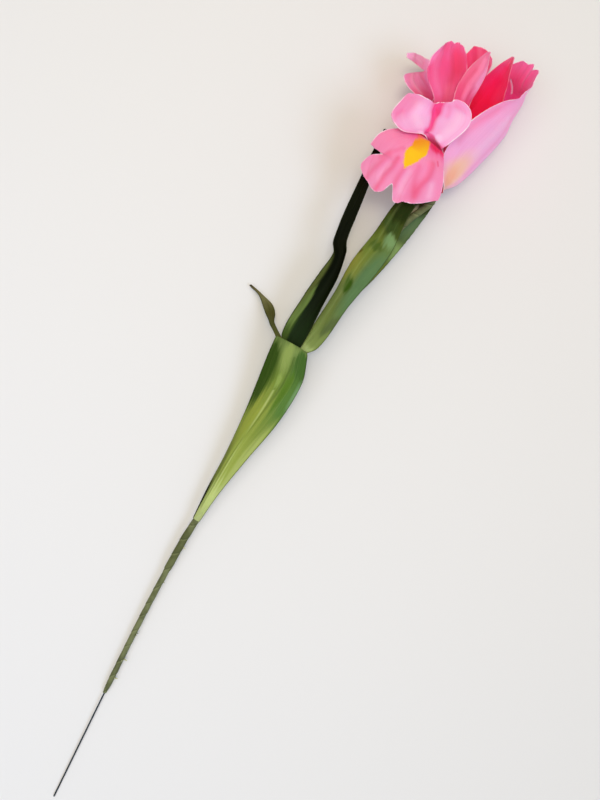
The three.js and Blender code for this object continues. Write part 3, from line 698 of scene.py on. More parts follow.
class Sheet:
    """One blade of cloth: its middle surface as a grid, and what its dye needs at each point."""

    def __init__(self, name, spacing, fray, seed):
        cut = CUTS[name]
        self.rows = rows_of(cut)
        # A root whose spread runs the other way turns the blade over, so its first face is the inner one
        self.first_is_outer = "root" not in cut or cut["root"][-1] > 0
        self.lay_out(cut, spacing, fray, seed)
        self.press(FOLDS[name], WAVES[name])
        self.measure()

    def lay_out(self, cut, spacing, fray, seed):
        """Lays a grid of points over the blade, with its lobes and notches and a slightly ragged edge."""
        trial = np.meshgrid(np.linspace(0, 1, 60), np.linspace(-1, 1, 30), indexing="ij")
        rough = surface(self.rows, *trial)
        length = distances(rough, 0)[-1].max()
        width = distances(rough, 1)[:, -1].max()
        count = max(FEWEST_ROWS, round(length / spacing))
        wide = 2 * max(FEWEST_ACROSS, round(width / spacing / 2))
        u = np.linspace(0, 1, count + 1)[:, None]
        v = np.linspace(-1, 1, wide + 1)[None, :]
        # The end wanders inwards, so that it stays within its solid
        ragged_end = (smooth_noise((v + 1) / 2, END_WAVES, seed) - 0.4) * fray / length
        reach = rounded(cut.get("end", WHOLE), v, END_ROUNDING) + ragged_end
        s = u * (1 - (1 - reach) * u ** END_PULL)
        side = np.where(v < 0, rounded(cut.get("left", WHOLE), u, SIDE_ROUNDING), 1)
        ragged_side = np.where(
            v < 0, smooth_noise(s, SIDE_WAVES, seed + 1), smooth_noise(s, SIDE_WAVES, seed + 2))
        t = v * (side + ragged_side * fray / width * outline(RAGGED, s))
        self.u, self.s, self.t = u, s, t
        self.grid = surface(self.rows, s, t)

    def press(self, folds, waves):
        """Presses the folds into the cloth, with painted shade in their valleys and painted highlight on
        their crowns, and waves its free edge.
        """
        lift = np.zeros_like(self.s)
        # The folds' painted shade, above 0, and painted highlight, below 0, at each point
        self.tint = np.zeros_like(self.s)
        for height, reach, share, path in folds:
            places = along([(*p, 0) for p in path], np.linspace(0, 1, 16))
            line = surface(self.rows, places[:, 0], places[:, 1])
            near = np.exp(-(line_distance(self.grid, line) / reach) ** 2)
            lift += height * near
            self.tint += share * near
        free = outline(FREE, self.s)
        for height, count, start in waves:
            side_wave = np.sin(math.tau * (count * self.s + start + 0.3 * np.sign(self.t)))
            end_wave = np.sin(math.tau * (count * self.t / 2 + start))
            lift += height * free * (self.t ** 4 * side_wave + self.u ** END_PULL * end_wave)
        self.grid = self.grid + facing_of(self.grid) * lift[..., None]
        # The cloth rests on the table and doesn't go into it
        self.grid[..., 2] = np.maximum(self.grid[..., 2], TABLE_GAP)

    def measure(self):
        """Finds how far each point is from the cut edge, and its place on the cloth laid flat, in mm."""
        from_left = distances(self.grid, 1)
        from_root = distances(self.grid, 0)
        to_side = np.minimum(from_left, from_left[:, -1:] - from_left)
        self.rim = np.minimum(to_side, from_root[-1:] - from_root)
        middle = self.grid.shape[1] // 2
        across = from_left - from_left[:, middle:middle + 1]
        down = from_root[:, middle:middle + 1] + 0 * across
        self.flat = np.stack([across, down], axis=-1)

    def mesh(self, name, thickness):
        """The closed cloth: both faces and the cut edge round them."""
        count, wide = self.grid.shape[:2]
        under = count * wide
        lift = facing_of(self.grid) * thickness / 2
        points = np.concatenate([(self.grid + lift).reshape(-1, 3), (self.grid - lift).reshape(-1, 3)])
        at = np.arange(under).reshape(count, wide)
        first = np.stack([at[:-1, :-1], at[:-1, 1:], at[1:, 1:], at[1:, :-1]], -1).reshape(-1, 4)
        ring = np.concatenate([at[0, :], at[1:, -1], at[-1, -2::-1], at[-2:0:-1, 0]])
        following = np.roll(ring, -1)
        edge = np.stack([ring, ring + under, following + under, following], -1)
        mesh = bpy.data.meshes.new(name)
        faces = np.concatenate([first, first[:, ::-1] + under, edge])
        mesh.from_pydata((points * MM).tolist(), [], faces.tolist())
        corners = np.zeros(len(mesh.loops), np.int32)
        mesh.loops.foreach_get("vertex_index", corners)
        for label, places in (("print", np.stack([self.t, self.s], -1)), ("weave", self.flat * MM)):
            both = np.concatenate([places.reshape(-1, 2)] * 2)
            layer = mesh.uv_layers.new(name=label)
            layer.data.foreach_set("uv", both[corners].astype(np.float32).ravel())
        mark(mesh, "rim", [self.rim, self.rim])
        # The folds' painted shade and highlight, read by the material
        mark(mesh, "tint", [self.tint, self.tint])
        mark(mesh, "outer", np.repeat([self.first_is_outer, not self.first_is_outer], under))
        mesh.shade_smooth()
        mesh.set_sharp_from_angle(angle=math.radians(50))
        return mesh

    def edge_spots(self, name):
        """Points along the cut edge with the way out of the cloth, for its loose threads."""
        grid = self.grid
        places = []
        ways = []
        for edge, inner in ((grid[:, 0], grid[:, 1]), (grid[-1], grid[-2]),
                            (grid[::-1, -1], grid[::-1, -2])):
            run = distances(edge)
            stops = np.arange(0.5, run[-1], THREAD_EVERY)
            places.append(read_at(stops, run, edge))
            ways.append(read_at(stops, run, unit(edge - inner)))
        places = np.concatenate(places)
        from_root = np.linalg.norm(places - grid[0, grid.shape[1] // 2], axis=1)
        keep = (from_root > THREADS_FROM_ROOT) & (places[:, 2] > THREADS_ABOVE)
        return spot_mesh(name, places[keep], np.concatenate(ways)[keep])


def spot_mesh(name, places, ways):
    """Loose points as a mesh, each with the way out of the surface that it lies on."""
    mesh = bpy.data.meshes.new(name)
    mesh.from_pydata((places * MM).tolist(), [], [])
    mark(mesh, "out", ways, "FLOAT_VECTOR")
    return mesh


def line_mesh(name, points, **fields):
    """A line of points as a mesh of edges, with a length in mm at each point for each named field."""
    mesh = bpy.data.meshes.new(name)
    mesh.from_pydata((points * MM).tolist(), [(k, k + 1) for k in range(len(points) - 1)], [])
    for label, values in fields.items():
        mark(mesh, label, values * MM)
    return mesh


# Node trees for what repeats or follows a path


def new_tree(name, inputs):
    """A geometry node tree with its named inputs, and the group input node."""
    tree = bpy.data.node_groups.new(name, "GeometryNodeTree")
    for label, kind in {"Geometry": "Geometry", **inputs, "Material": "Material"}.items():
        tree.interface.new_socket(label, in_out="INPUT", socket_type="NodeSocket" + kind)
    tree.interface.new_socket("Geometry", in_out="OUTPUT", socket_type="NodeSocketGeometry")
    return tree, node(tree, "NodeGroupInput").node.outputs


def close_tree(tree, geometry, given):
    """Makes the copies real, gives them their material and ends the tree."""
    real = node(tree, "GeometryNodeRealizeInstances", [geometry])
    smooth = node(tree, "GeometryNodeSetShadeSmooth", [real])
    dressed = node(tree, "GeometryNodeSetMaterial", {0: smooth, "Material": given["Material"]})
    node(tree, "NodeGroupOutput", [dressed])
    return tree


def drawn_wire_tree():
    """A round wire along a line."""
    tree, given = new_tree("drawn_wire", {"Radius": "Float", "Sides": "Int"})
    line = node(tree, "GeometryNodeMeshToCurve", [given["Geometry"]])
    ring = node(tree, "GeometryNodeCurvePrimitiveCircle", {
        "Resolution": given["Sides"], "Radius": given["Radius"]})
    wire = node(tree, "GeometryNodeCurveToMesh", {"Curve": line, "Profile Curve": ring, "Fill Caps": True})
    return close_tree(tree, wire, given)


def wound_tape_tree():
    """Paper tape wound up a line: each turn starts with a step on to the turn below it."""
    tree, given = new_tree("wound_tape", {
        "Turn length": "Float", "Lap": "Float", "Crinkle": "Float", "Sides": "Int"})
    line = node(tree, "GeometryNodeMeshToCurve", [given["Geometry"]])
    ring = node(tree, "GeometryNodeCurvePrimitiveCircle", {"Resolution": given["Sides"], "Radius": MM})
    factor = node(tree, "GeometryNodeSplineParameter")
    marked = node(tree, "GeometryNodeStoreNamedAttribute", {0: ring, "Name": "around", "Value": factor})
    tube = node(tree, "GeometryNodeCurveToMesh", {"Curve": line, "Profile Curve": marked, "Fill Caps": True})
    run, girth, around = (
        node(tree, "GeometryNodeInputNamedAttribute", {"Name": label})
        for label in ("run", "girth", "around"))
    position = node(tree, "GeometryNodeInputPosition")
    # The turns come a little early or late, and that drifts over a few centimetres
    slow = node(tree, "ShaderNodeTexNoise", {"Vector": position, "Scale": 22.0, "Detail": 1.0})
    turns = node(tree, "ShaderNodeMath", [run, given["Turn length"]], operation="DIVIDE")
    uneven = node(tree, "ShaderNodeMath", [slow, 1.4, turns], operation="MULTIPLY_ADD")
    wound = node(tree, "ShaderNodeMath", [uneven, around], operation="SUBTRACT")
    phase = node(tree, "ShaderNodeMath", [wound], operation="FRACT")
    falling = node(tree, "ShaderNodeMath", [1.0, phase], operation="SUBTRACT")
    step = node(tree, "ShaderNodeMath", [falling, given["Lap"]], operation="MULTIPLY")
    fine = node(tree, "ShaderNodeTexNoise", {"Vector": position, "Scale": 900.0, "Detail": 3.0})
    crinkle = node(tree, "ShaderNodeMath", [fine, given["Crinkle"], step], operation="MULTIPLY_ADD")
    radius = node(tree, "ShaderNodeMath", [crinkle, girth], operation="ADD")
    lift = node(tree, "ShaderNodeMath", [radius, MM], operation="SUBTRACT")
    normal = node(tree, "GeometryNodeInputNormal")
    push = node(tree, "ShaderNodeVectorMath", {0: normal, "Scale": lift}, operation="SCALE")
    shaped = node(tree, "GeometryNodeSetPosition", {0: tube, "Offset": push})
    lapped = node(tree, "GeometryNodeStoreNamedAttribute", {0: shaped, "Name": "lap", "Value": phase})
    return close_tree(tree, lapped, given)


def loose_thread_tree():
    """Short loose threads at some of the points of a cut edge, each about the way out of the cloth."""
    tree, given = new_tree("loose_threads", {
        "Share": "Float", "Thread length": "Float", "Thread radius": "Float", "Seed": "Int"})
    points = node(tree, "GeometryNodeMeshToPoints", [given["Geometry"]])
    chosen = node(tree, "FunctionNodeRandomValue", {"Probability": given["Share"], "Seed": given["Seed"]},
                  out=3, data_type="BOOLEAN")
    tip = node(tree, "ShaderNodeMath", [given["Thread radius"], 0.4], operation="MULTIPLY")
    thread = node(tree, "GeometryNodeMeshCone", {
        "Vertices": 4, "Radius Top": tip, "Radius Bottom": given["Thread radius"],
        "Depth": given["Thread length"]}, fill_type="NGON")
    way = node(tree, "GeometryNodeInputNamedAttribute", {"Name": "out"}, data_type="FLOAT_VECTOR")
    stray = node(tree, "FunctionNodeRandomValue", {
        0: (-0.7, -0.7, -0.7), 1: (0.7, 0.7, 0.7), "Seed": given["Seed"]}, data_type="FLOAT_VECTOR")
    aim = node(tree, "ShaderNodeVectorMath", [way, stray], operation="ADD")
    turn = node(tree, "FunctionNodeAlignRotationToVector", {"Vector": aim}, axis="Z")
    size = node(tree, "FunctionNodeRandomValue", {2: 0.35, 3: 1.0, "Seed": given["Seed"]}, out=1)
    threads = node(tree, "GeometryNodeInstanceOnPoints", {
        "Points": points, "Selection": chosen, "Instance": thread, "Rotation": turn, "Scale": size})
    return close_tree(tree, threads, given)


def placed(name, mesh, material=None):
    """A new object at the origin with its place in its mesh."""
    piece = bpy.data.objects.new(name, mesh)
    bpy.context.scene.collection.objects.link(piece)
    if material:
        mesh.materials.append(material)
    return piece


def through_tree(name, mesh, tree, values):
    """Runs a mesh through a node tree and keeps the result as a plain mesh."""
    piece = placed(name, mesh)
    modifier = piece.modifiers.new("shape", "NODES")
    modifier.node_group = tree
    for item in tree.interface.items_tree:
        if item.item_type == "SOCKET" and item.in_out == "INPUT" and item.name in values:
            modifier[item.identifier] = values[item.name]
    graph = bpy.context.evaluated_depsgraph_get()
    plain = bpy.data.meshes.new_from_object(
        piece.evaluated_get(graph), preserve_all_data_layers=True, depsgraph=graph)
    piece.modifiers.clear()
    piece.data = plain
    return piece


def declare(piece, slot, *nodes):
    """Joins a piece to the part's body and hides the solids that it stands for. The slot is not used."""
    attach(piece, BODY)
    if nodes:
        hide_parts(*nodes)


# Materials

# A change with soft ends, for a Map Range node
SOFT = {"interpolation_type": "SMOOTHSTEP"}


def new_material(name):
    """An empty node material, and its tree."""
    material = bpy.data.materials.new(name)
    material.use_nodes = True
    material.node_tree.nodes.clear()
    return material, material.node_tree


def close_material(material, feeds):
    """Ends a material with its shader. What is the same all over is set on the shader's own sockets."""
    shader = node(material.node_tree, "ShaderNodeBsdfPrincipled", feeds)
    node(material.node_tree, "ShaderNodeOutputMaterial", {"Surface": shader})
    return material


def dyed(tree, ground, tint, share, strength=1.0):
    """A colour, a hex one or a node's, over a ground colour, by its share of the cloth and strength. It lays
    dye, print and grain, and also the painted shade and painted highlight of the folds and some patches.
    """
    if isinstance(tint, str):
        tint = linear(tint)
    if strength != 1.0:
        share = node(tree, "ShaderNodeMath", [share, strength], operation="MULTIPLY")
    return node(tree, "ShaderNodeMix", {0: share, 6: ground, 7: tint}, out=2, data_type="RGBA")


def dyed_along(tree, place, stops):
    """Ground dye that changes along the blade, from its root to its tip."""
    colour = linear(stops[0][1])
    for (start, _), (stop, shade) in zip(stops, stops[1:]):
        share = node(tree, "ShaderNodeMapRange", [place, start, stop], **SOFT)
        colour = dyed(tree, colour, shade, share)
    return colour


def dye_and_painted_light_patches(tree, ground, place, patches):
    """Soft patches over a ground colour, each an oval in the blade's own places: mostly sprayed
    dye and print, a few of them painted shade and painted highlight.
    """
    for shade, centre, reach, turn, strength in patches:
        spot = node(tree, "ShaderNodeMapping", {
            "Vector": place, "Location": (*centre, 0), "Rotation": (0, 0, math.radians(turn)),
            "Scale": (*reach, 1)}, vector_type="TEXTURE")
        far = node(tree, "ShaderNodeVectorMath", [spot], out=1, operation="LENGTH")
        share = node(tree, "ShaderNodeMapRange", [far, 1.0, 0.3, 0.0, strength], **SOFT)
        ground = dyed(tree, ground, shade, share)
    return ground


def streaks(tree, place, size, seed, span):
    """Where streaks are, from 0 to 1. size says how many go across and down the blade, and span from
    what height of the noise to what height they come in."""
    spread = node(tree, "ShaderNodeMapping", {
        "Vector": place, "Location": (seed, 0, 0), "Scale": (*size, 1)})
    noise = node(tree, "ShaderNodeTexNoise", {"Vector": spread, "Scale": 1.0, "Detail": 3.0})
    return node(tree, "ShaderNodeMapRange", [noise, *span], **SOFT)


def streaked(tree, ground, shade, place, size, seed, span, strength):
    """Streaks of dye that run along the blade, as a brush leaves them, over a ground colour."""
    return dyed(tree, ground, shade, streaks(tree, place, size, seed, span), strength)


def painted_fold_shading(tree, ground, shades, strengths):
    """Painted shade: the deep colour laid in the folds, and painted highlight: the pale colour on their
    crowns.
    """
    fold_shading = node(tree, "ShaderNodeAttribute", out=2, attribute_name="tint")
    for shade, strength in zip(shades, strengths):
        ground = dyed(tree, ground, shade, fold_shading, strength)
    return ground


def cut_rim(tree, ground, shade, reach, strength, patchy=1.0):
    """The colour of the cut edge, which fades out over a reach in mm."""
    rim = node(tree, "ShaderNodeAttribute", out=2, attribute_name="rim")
    share = node(tree, "ShaderNodeMapRange", [rim, reach, 0.2, 0.0, strength], **SOFT)
    return dyed(tree, ground, shade, share, patchy)


def wobbly_place(tree, wobble, seed):
    """The blade's own places across and along it, shifted a little so that no patch has a ruled edge."""
    place = node(tree, "ShaderNodeUVMap", uv_map="print")
    noise = node(tree, "ShaderNodeTexNoise", {
        "Vector": place, "Scale": 5.0 + seed % 3, "Detail": 2.0}, out=1)
    centred = node(tree, "ShaderNodeVectorMath", [noise, (0.5, 0.5, 0.5)], operation="SUBTRACT")
    shift = node(tree, "ShaderNodeVectorMath", {0: centred, "Scale": wobble}, operation="SCALE")
    moved = node(tree, "ShaderNodeVectorMath", [place, shift], operation="ADD")
    return moved, node(tree, "ShaderNodeSeparateXYZ", [moved], out=1)


def cloth_normal(tree, thread, weave_depth, weave_strength, relief, depth):
    """Bump of cloth: a plain weave with slubs, and over it a coarser relief. Depths are in metres."""
    cloth = node(tree, "ShaderNodeUVMap", uv_map="weave")
    # A wave texture has 20 radians to the unit, so this scale gives it one wave to a thread
    scale = math.tau / 20 / thread
    warp, weft = (
        node(tree, "ShaderNodeTexWave", {"Vector": cloth, "Scale": scale, "Distortion": 0.4},
             bands_direction=axis) for axis in "XY")
    slub = node(tree, "ShaderNodeTexNoise", {"Vector": cloth, "Scale": 0.3 / thread, "Detail": 2.0})
    crossed = node(tree, "ShaderNodeMath", [warp, weft], operation="ADD")
    woven = node(tree, "ShaderNodeMath", [slub, 0.8, crossed], operation="MULTIPLY_ADD")
    weave = node(tree, "ShaderNodeBump", {
        "Height": woven, "Distance": weave_depth, "Strength": weave_strength})
    return node(tree, "ShaderNodeBump", {
        "Height": relief, "Distance": depth, "Strength": 0.6, "Normal": weave})


def dyed_cloth(name, look, thread, seed, blotch=None):
    """Dyed polyester cloth, woven, stiffened and pressed to shape: soft sheen, no gloss, and light
    that comes a little way through it. Its dye is brushed from the root outwards and is thin at the
    cut rim. Painted shade lies in the pressed folds and painted highlight on their crowns."""
    material, tree = new_material(name)
    place, down = wobbly_place(tree, 0.05, seed)
    outer, inner = (
        dye_and_painted_light_patches(tree, dyed_along(tree, down, look[face]), place, look.get(face + "_patches", []))
        for face in ("outer", "inner"))
    outward = node(tree, "ShaderNodeAttribute", out=2, attribute_name="outer")
    ground = dyed(tree, inner, outer, outward)
    # Painted shade in the folds and painted highlight on their crowns
    ground = painted_fold_shading(tree, ground, (look["deep"], look["pale"]), (1.0, -1.0))
    deep, pale = look["brush"]
    ground = streaked(tree, ground, look["deep"], place, (9.0, 1.6), seed, (0.5, 0.85), deep)
    ground = streaked(tree, ground, look["pale"], place, (16.0, 2.4), seed + 7, (0.5, 0.9), pale)
    if blotch:
        ground = blotch(tree, ground)
    patchy = streaks(tree, place, (5.0, 5.0), seed + 3, (0.4, 0.65))
    ground = cut_rim(tree, ground, look["rim"], 1.0, 0.9, patchy)
    veins = streaks(tree, place, (34.0, 2.0), seed + 11, (0.3, 0.7))
    # Threads are 0.15 mm apart in the real cloth and drawn wider so that the weave shows
    return close_material(material, {
        "Base Color": ground, "Normal": cloth_normal(tree, thread, 0.03 * MM, 0.6, veins, 0.1 * MM),
        "Roughness": 0.82, "IOR": 1.5, "Specular IOR Level": 0.25, "Sheen Weight": 0.12,
        "Sheen Roughness": 0.45, "Subsurface Weight": 0.5, "Subsurface Radius": (1.0, 0.4, 0.5),
        "Subsurface Scale": 2 * MM})


def yellow_blotch(tree, ground):
    """The yellow signal of the fall: a wedge with a slanted top, a blunt foot and a bitten edge."""
    place = node(tree, "ShaderNodeUVMap", uv_map="print")
    across, down = node(tree, "ShaderNodeSeparateXYZ", [place]).node.outputs[:2]
    # Its middle line, its half width and how its foot thins out change down the blade
    middle, half_width, foot = (
        node(tree, "ShaderNodeMapRange", [down, *ramp])
        for ramp in ((0.48, 0.6, 0.13, 0.01), (0.5, 0.78, 0.38, 0.17), (0.68, 0.8, 1.0, 0.0)))
    side = node(tree, "ShaderNodeMath", [across, middle], operation="SUBTRACT")
    away = node(tree, "ShaderNodeMath", [side], operation="ABSOLUTE")
    blunt = node(tree, "ShaderNodeMath", [foot, 0.4], operation="POWER")
    room = node(tree, "ShaderNodeMath", [half_width, blunt], operation="MULTIPLY")
    left_over = node(tree, "ShaderNodeMath", [room, away], operation="SUBTRACT")
    nibble = node(tree, "ShaderNodeTexNoise", {"Vector": place, "Scale": 30.0, "Detail": 1.0})
    bitten = node(tree, "ShaderNodeMath", [nibble, 0.1, left_over], operation="MULTIPLY_ADD")
    slanted = node(tree, "ShaderNodeMath", [across, 0.11, down], operation="MULTIPLY_ADD")
    inside, started, ripe = (
        node(tree, "ShaderNodeMapRange", ramp, **SOFT)
        for ramp in ((bitten, 0.06, 0.13), (slanted, 0.468, 0.502), (slanted, 0.49, 0.6)))
    return dyed(tree, ground, dyed(tree, linear("#e98c14"), "#f6b70f", ripe), inside, started)


def printed_leaf_cloth(name, look, thread, seed):
    """Polyester cloth printed green and pressed with long ribs: nearly matt, so that the dark ink stays
    dark, with light ink between the ribs and a dark cut edge."""
    material, tree = new_material(name)
    place, down = wobbly_place(tree, 0.1, seed)
    ground = dye_and_painted_light_patches(tree, dyed_along(tree, down, look["ground"]), place, look["patches"])
    # Painted shade in the folds and painted highlight on their crowns, in the dark and the light ink
    ground = painted_fold_shading(tree, ground, (look["dark"], look["light"]), (0.6, -0.8))
    ground = streaked(tree, ground, look["dark"], place, (3.0, 9.0), seed, (0.5, 0.75), 0.2)
    ground = streaked(tree, ground, look["light"], place, (LEAF_RIBS * 0.6, 3.0), seed + 5, (0.5, 0.8), 0.13)
    ground = cut_rim(tree, ground, look["rim"], 0.9, 0.7)
    ribs = node(tree, "ShaderNodeTexWave", {
        "Vector": place, "Scale": LEAF_RIBS * math.tau / 40, "Distortion": 0.3, "Detail Scale": 0.4},
        bands_direction="X")
    return close_material(material, {
        "Base Color": ground, "Normal": cloth_normal(tree, thread, 0.02 * MM, 0.5, ribs, 0.12 * MM),
        "Roughness": 0.6, "IOR": 1.5, "Specular IOR Level": 0.05, "Subsurface Weight": 0.1,
        "Subsurface Radius": (0.4, 0.8, 0.2), "Subsurface Scale": 1 * MM})


def crepe_tape(colour):
    """Waxed crepe paper tape, stretched as it is wound: matt, with fine lengthwise crinkles, darker
    where a turn lies on the next and paler where it is stretched thin."""
    material, tree = new_material("crepe_tape")
    lap, girth = (
        node(tree, "ShaderNodeAttribute", out=2, attribute_name=label) for label in ("lap", "girth"))
    place = node(tree, "ShaderNodeTexCoord", out=3)
    cloud = node(tree, "ShaderNodeTexNoise", {"Vector": place, "Scale": 110.0, "Detail": 3.0})
    cloud = node(tree, "ShaderNodeMapRange", [cloud, 0.35, 0.65], **SOFT)
    ground = dyed(tree, colour, "#6c724c", cloud)
    # Each shade with the attribute it follows and that attribute's range: the second winding from its
    # girth, the step under a lap, and the stretched edge before the next one
    for shade, field, start, stop, first, last in (
            ("#50562c", girth, 2.1 * MM, 2.5 * MM, 0.0, 0.5),
            ("#33381f", lap, 0.0, 0.12, 0.75, 0.0),
            ("#858b5e", lap, 0.86, 1.0, 0.0, 0.55)):
        share = node(tree, "ShaderNodeMapRange", [field, start, stop, first, last])
        ground = dyed(tree, ground, shade, share)
    # Crinkles of stretched crepe are about 0.4 mm apart
    crinkle = node(tree, "ShaderNodeTexNoise", {"Vector": place, "Scale": 2500.0, "Detail": 3.0})
    bump = node(tree, "ShaderNodeBump", {"Height": crinkle, "Distance": 0.1 * MM, "Strength": 0.8})
    return close_material(material, {
        "Base Color": ground, "Normal": bump, "Roughness": 0.85, "Specular IOR Level": 0.3})


def drawn_steel(colour):
    """Drawn steel wire, left bare and dulled by handling: a dark metal with fine draw lines."""
    material, tree = new_material("drawn_steel")
    place = node(tree, "ShaderNodeTexCoord", out=3)
    lines = node(tree, "ShaderNodeMapping", {"Vector": place, "Scale": (4000, 60, 4000)})
    grain = node(tree, "ShaderNodeTexNoise", {"Vector": lines, "Scale": 1.0, "Detail": 2.0})
    dull = node(tree, "ShaderNodeTexNoise", {"Vector": place, "Scale": 90.0, "Detail": 3.0})
    rough = node(tree, "ShaderNodeMapRange", {0: grain, 3: 0.28, 4: 0.5})
    return close_material(material, {
        "Base Color": dyed(tree, colour, "#363b40", dull), "Roughness": rough, "Metallic": 1.0})


def moulded_polyethylene(colour):
    """Injection-moulded polyethylene, soft and waxy to the eye, with a faint mottle."""
    material, tree = new_material("moulded_polyethylene")
    place = node(tree, "ShaderNodeTexCoord", out=3)
    mottle = node(tree, "ShaderNodeTexNoise", {"Vector": place, "Scale": 300.0, "Detail": 3.0})
    bump = node(tree, "ShaderNodeBump", {"Height": mottle, "Distance": 0.05 * MM, "Strength": 0.4})
    return close_material(material, {
        "Base Color": dyed(tree, colour, "#8fa055", mottle), "Normal": bump, "Roughness": 0.45,
        "IOR": 1.51, "Subsurface Weight": 0.2, "Subsurface Radius": (0.6, 1.0, 0.4),
        "Subsurface Scale": 1 * MM})


def painted_board(colour):
    """Matt painted board for the table: even and pale, with a grain too fine to name."""
    material, tree = new_material("painted_board")
    place = node(tree, "ShaderNodeTexCoord", out=3)
    grain = node(tree, "ShaderNodeTexNoise", {"Vector": place, "Scale": 3.0, "Detail": 2.0})
    return close_material(material, {
        "Base Color": dyed(tree, colour, "#c8c6bf", grain, 0.06), "Roughness": 0.9,
        "Specular IOR Level": 0.1})


# Settings, operators and panel


def size_setting(label, use, size, least, most):
    """A length for the sidebar, given in mm."""
    return bpy.props.FloatProperty(
        name=label, description=use, default=size * MM, min=least * MM, max=most * MM, precision=5,
        unit="LENGTH")


def colour_setting(label, use, shade):
    """A colour for the sidebar."""
    return bpy.props.FloatVectorProperty(
        name=label, description=use, subtype="COLOR", size=4, default=linear(shade), min=0, max=1)


class IrisSizes(bpy.types.PropertyGroup):
    """Sizes of the cloth, tape and wire."""

    cloth: size_setting("Cloth thickness", "Thickness of the petal and leaf cloth", 0.35, 0.1, 0.7)
    spacing: size_setting("Mesh spacing", "Distance between the points of a blade's mesh", 0.75, 0.3, 3)
    thread: size_setting("Thread spacing", "Distance of the weave's threads, wider than life", 0.5, 0.1, 2)
    fray: size_setting("Edge wander", "How far a cut edge wanders from its line", 0.16, 0, 1)
    loose_thread: size_setting("Loose thread length", "Longest loose thread at a cut edge", 0.8, 0, 3)
    thread_radius: size_setting("Loose thread radius", "Radius of a loose thread", 0.05, 0.01, 0.5)
    wire_radius: size_setting("Wire radius", "Radius of the bare steel wire", 0.6, 0.2, 2)
    tape_turn: size_setting("Tape turn", "Length of stem that one turn of the tape covers", 13, 4, 40)
    tape_lap: size_setting("Tape lap", "Step where one turn of the tape lies on the next", 0.22, 0, 1)
    tape_crinkle: size_setting("Tape crinkle", "Height of the crinkles in the tape", 0.12, 0, 1)
    tape_end: size_setting("Tape end length", "Longest folded end that stands out of the tape", 3.2, 0, 10)
    tape_end_radius: size_setting("Tape end radius", "Radius of a folded end of the tape", 0.85, 0.1, 3)


class IrisColours(bpy.types.PropertyGroup):
    """Main colours outside the dyes of the petals and the prints of the leaves."""

    tape: colour_setting("Tape", "Ground colour of the paper tape", "#4e5333")
    tape_end: colour_setting("Tape ends", "Colour of the tape's folded ends", "#d8dab0")
    wire: colour_setting("Wire", "Colour of the steel wire", "#43494e")
    core: colour_setting("Core", "Colour of the moulded core", "#a6b678")
    table: colour_setting("Table", "Colour of the table", "#dcdcdc")


def make_blade(context, name, slot, material, threads):
    """One petal or leaf, and the loose threads of its cut edge."""
    sizes = context.scene.iris_sizes
    seed = FIRST_SEED + list(CUTS).index(name)
    sheet = Sheet(name, sizes.spacing / MM, sizes.fray / MM, seed)
    mesh = sheet.mesh(name + "_cloth", sizes.cloth / MM)
    declare(placed(name + "_cloth", mesh, material), slot, name)
    edge = through_tree(name + "_threads", sheet.edge_spots(name + "_threads"), threads, {
        "Share": THREAD_SHARE, "Thread length": sizes.loose_thread, "Thread radius": sizes.thread_radius,
        "Seed": seed, "Material": material})
    declare(edge, slot)


def make_petals(context, ring):
    """The petals of one ring. One without a dye of its own takes the ring's inner dye."""
    threads = loose_thread_tree()
    cloths = {}
    for name in CUTS:
        if not name.startswith(ring):
            continue
        slot = name if name in DYES else ring + "_inner"
        if slot not in cloths:
            cloths[slot] = dyed_cloth(
                "dyed_polyester_" + slot, DYES[slot], context.scene.iris_sizes.thread,
                list(DYES).index(slot), yellow_blotch if slot == "fall_front" else None)
        make_blade(context, name, slot, cloths[slot], threads)
    return {"FINISHED"}


class IRIS_OT_wire(bpy.types.Operator):
    """Makes the drawn steel wire of the stem"""

    bl_idname = "iris.wire"
    bl_label = "Stem wire"

    def execute(self, context):
        points, _ = evenly([*BARE_WIRE, *TAPED_STEM, *NECK], WIRE_STEP)
        wire = through_tree("wire_bare", line_mesh("wire_bare", points), drawn_wire_tree(), {
            "Radius": context.scene.iris_sizes.wire_radius, "Sides": WIRE_SIDES,
            "Material": drawn_steel(context.scene.iris_colours.wire)})
        declare(wire, "wire", "stem_wire")
        return {"FINISHED"}


class IRIS_OT_tape(bpy.types.Operator):
    """Winds the crepe paper tape up the stem, with its folded ends"""

    bl_idname = "iris.tape"
    bl_label = "Stem tape"

    def execute(self, context):
        sizes = context.scene.iris_sizes
        colours = context.scene.iris_colours
        points, run = evenly([*TAPED_STEM, *NECK], TAPE_STEP)
        girth = outline(TAPE_GIRTH, run / run[-1])
        line = line_mesh("tape_wound", points, run=run, girth=girth)
        tape = through_tree("tape_wound", line, wound_tape_tree(), {
            "Turn length": sizes.tape_turn, "Lap": sizes.tape_lap, "Crinkle": sizes.tape_crinkle,
            "Sides": TAPE_SIDES, "Material": crepe_tape(colours.tape)})
        declare(tape, "tape", "stem_tape")
        at = np.searchsorted(run, [up for up, _ in TAPE_ENDS])
        places = np.array([hug(points[k], points[k + 1] - points[k - 1], facing, girth[k], 0)[1]
                           for k, (_, facing) in zip(at, TAPE_ENDS)])
        spots = spot_mesh("tape_ends", places, places - points[at])
        # Half way up a turn, so that an end takes neither the dark nor the pale edge of a lap
        mark(spots, "lap", np.full(len(places), 0.5))
        ends = through_tree("tape_ends", spots, loose_thread_tree(), {
            "Share": 1.0, "Thread length": sizes.tape_end, "Thread radius": sizes.tape_end_radius,
            "Seed": TAPE_ENDS_SEED, "Material": crepe_tape(colours.tape_end)})
        declare(ends, "tape")
        return {"FINISHED"}


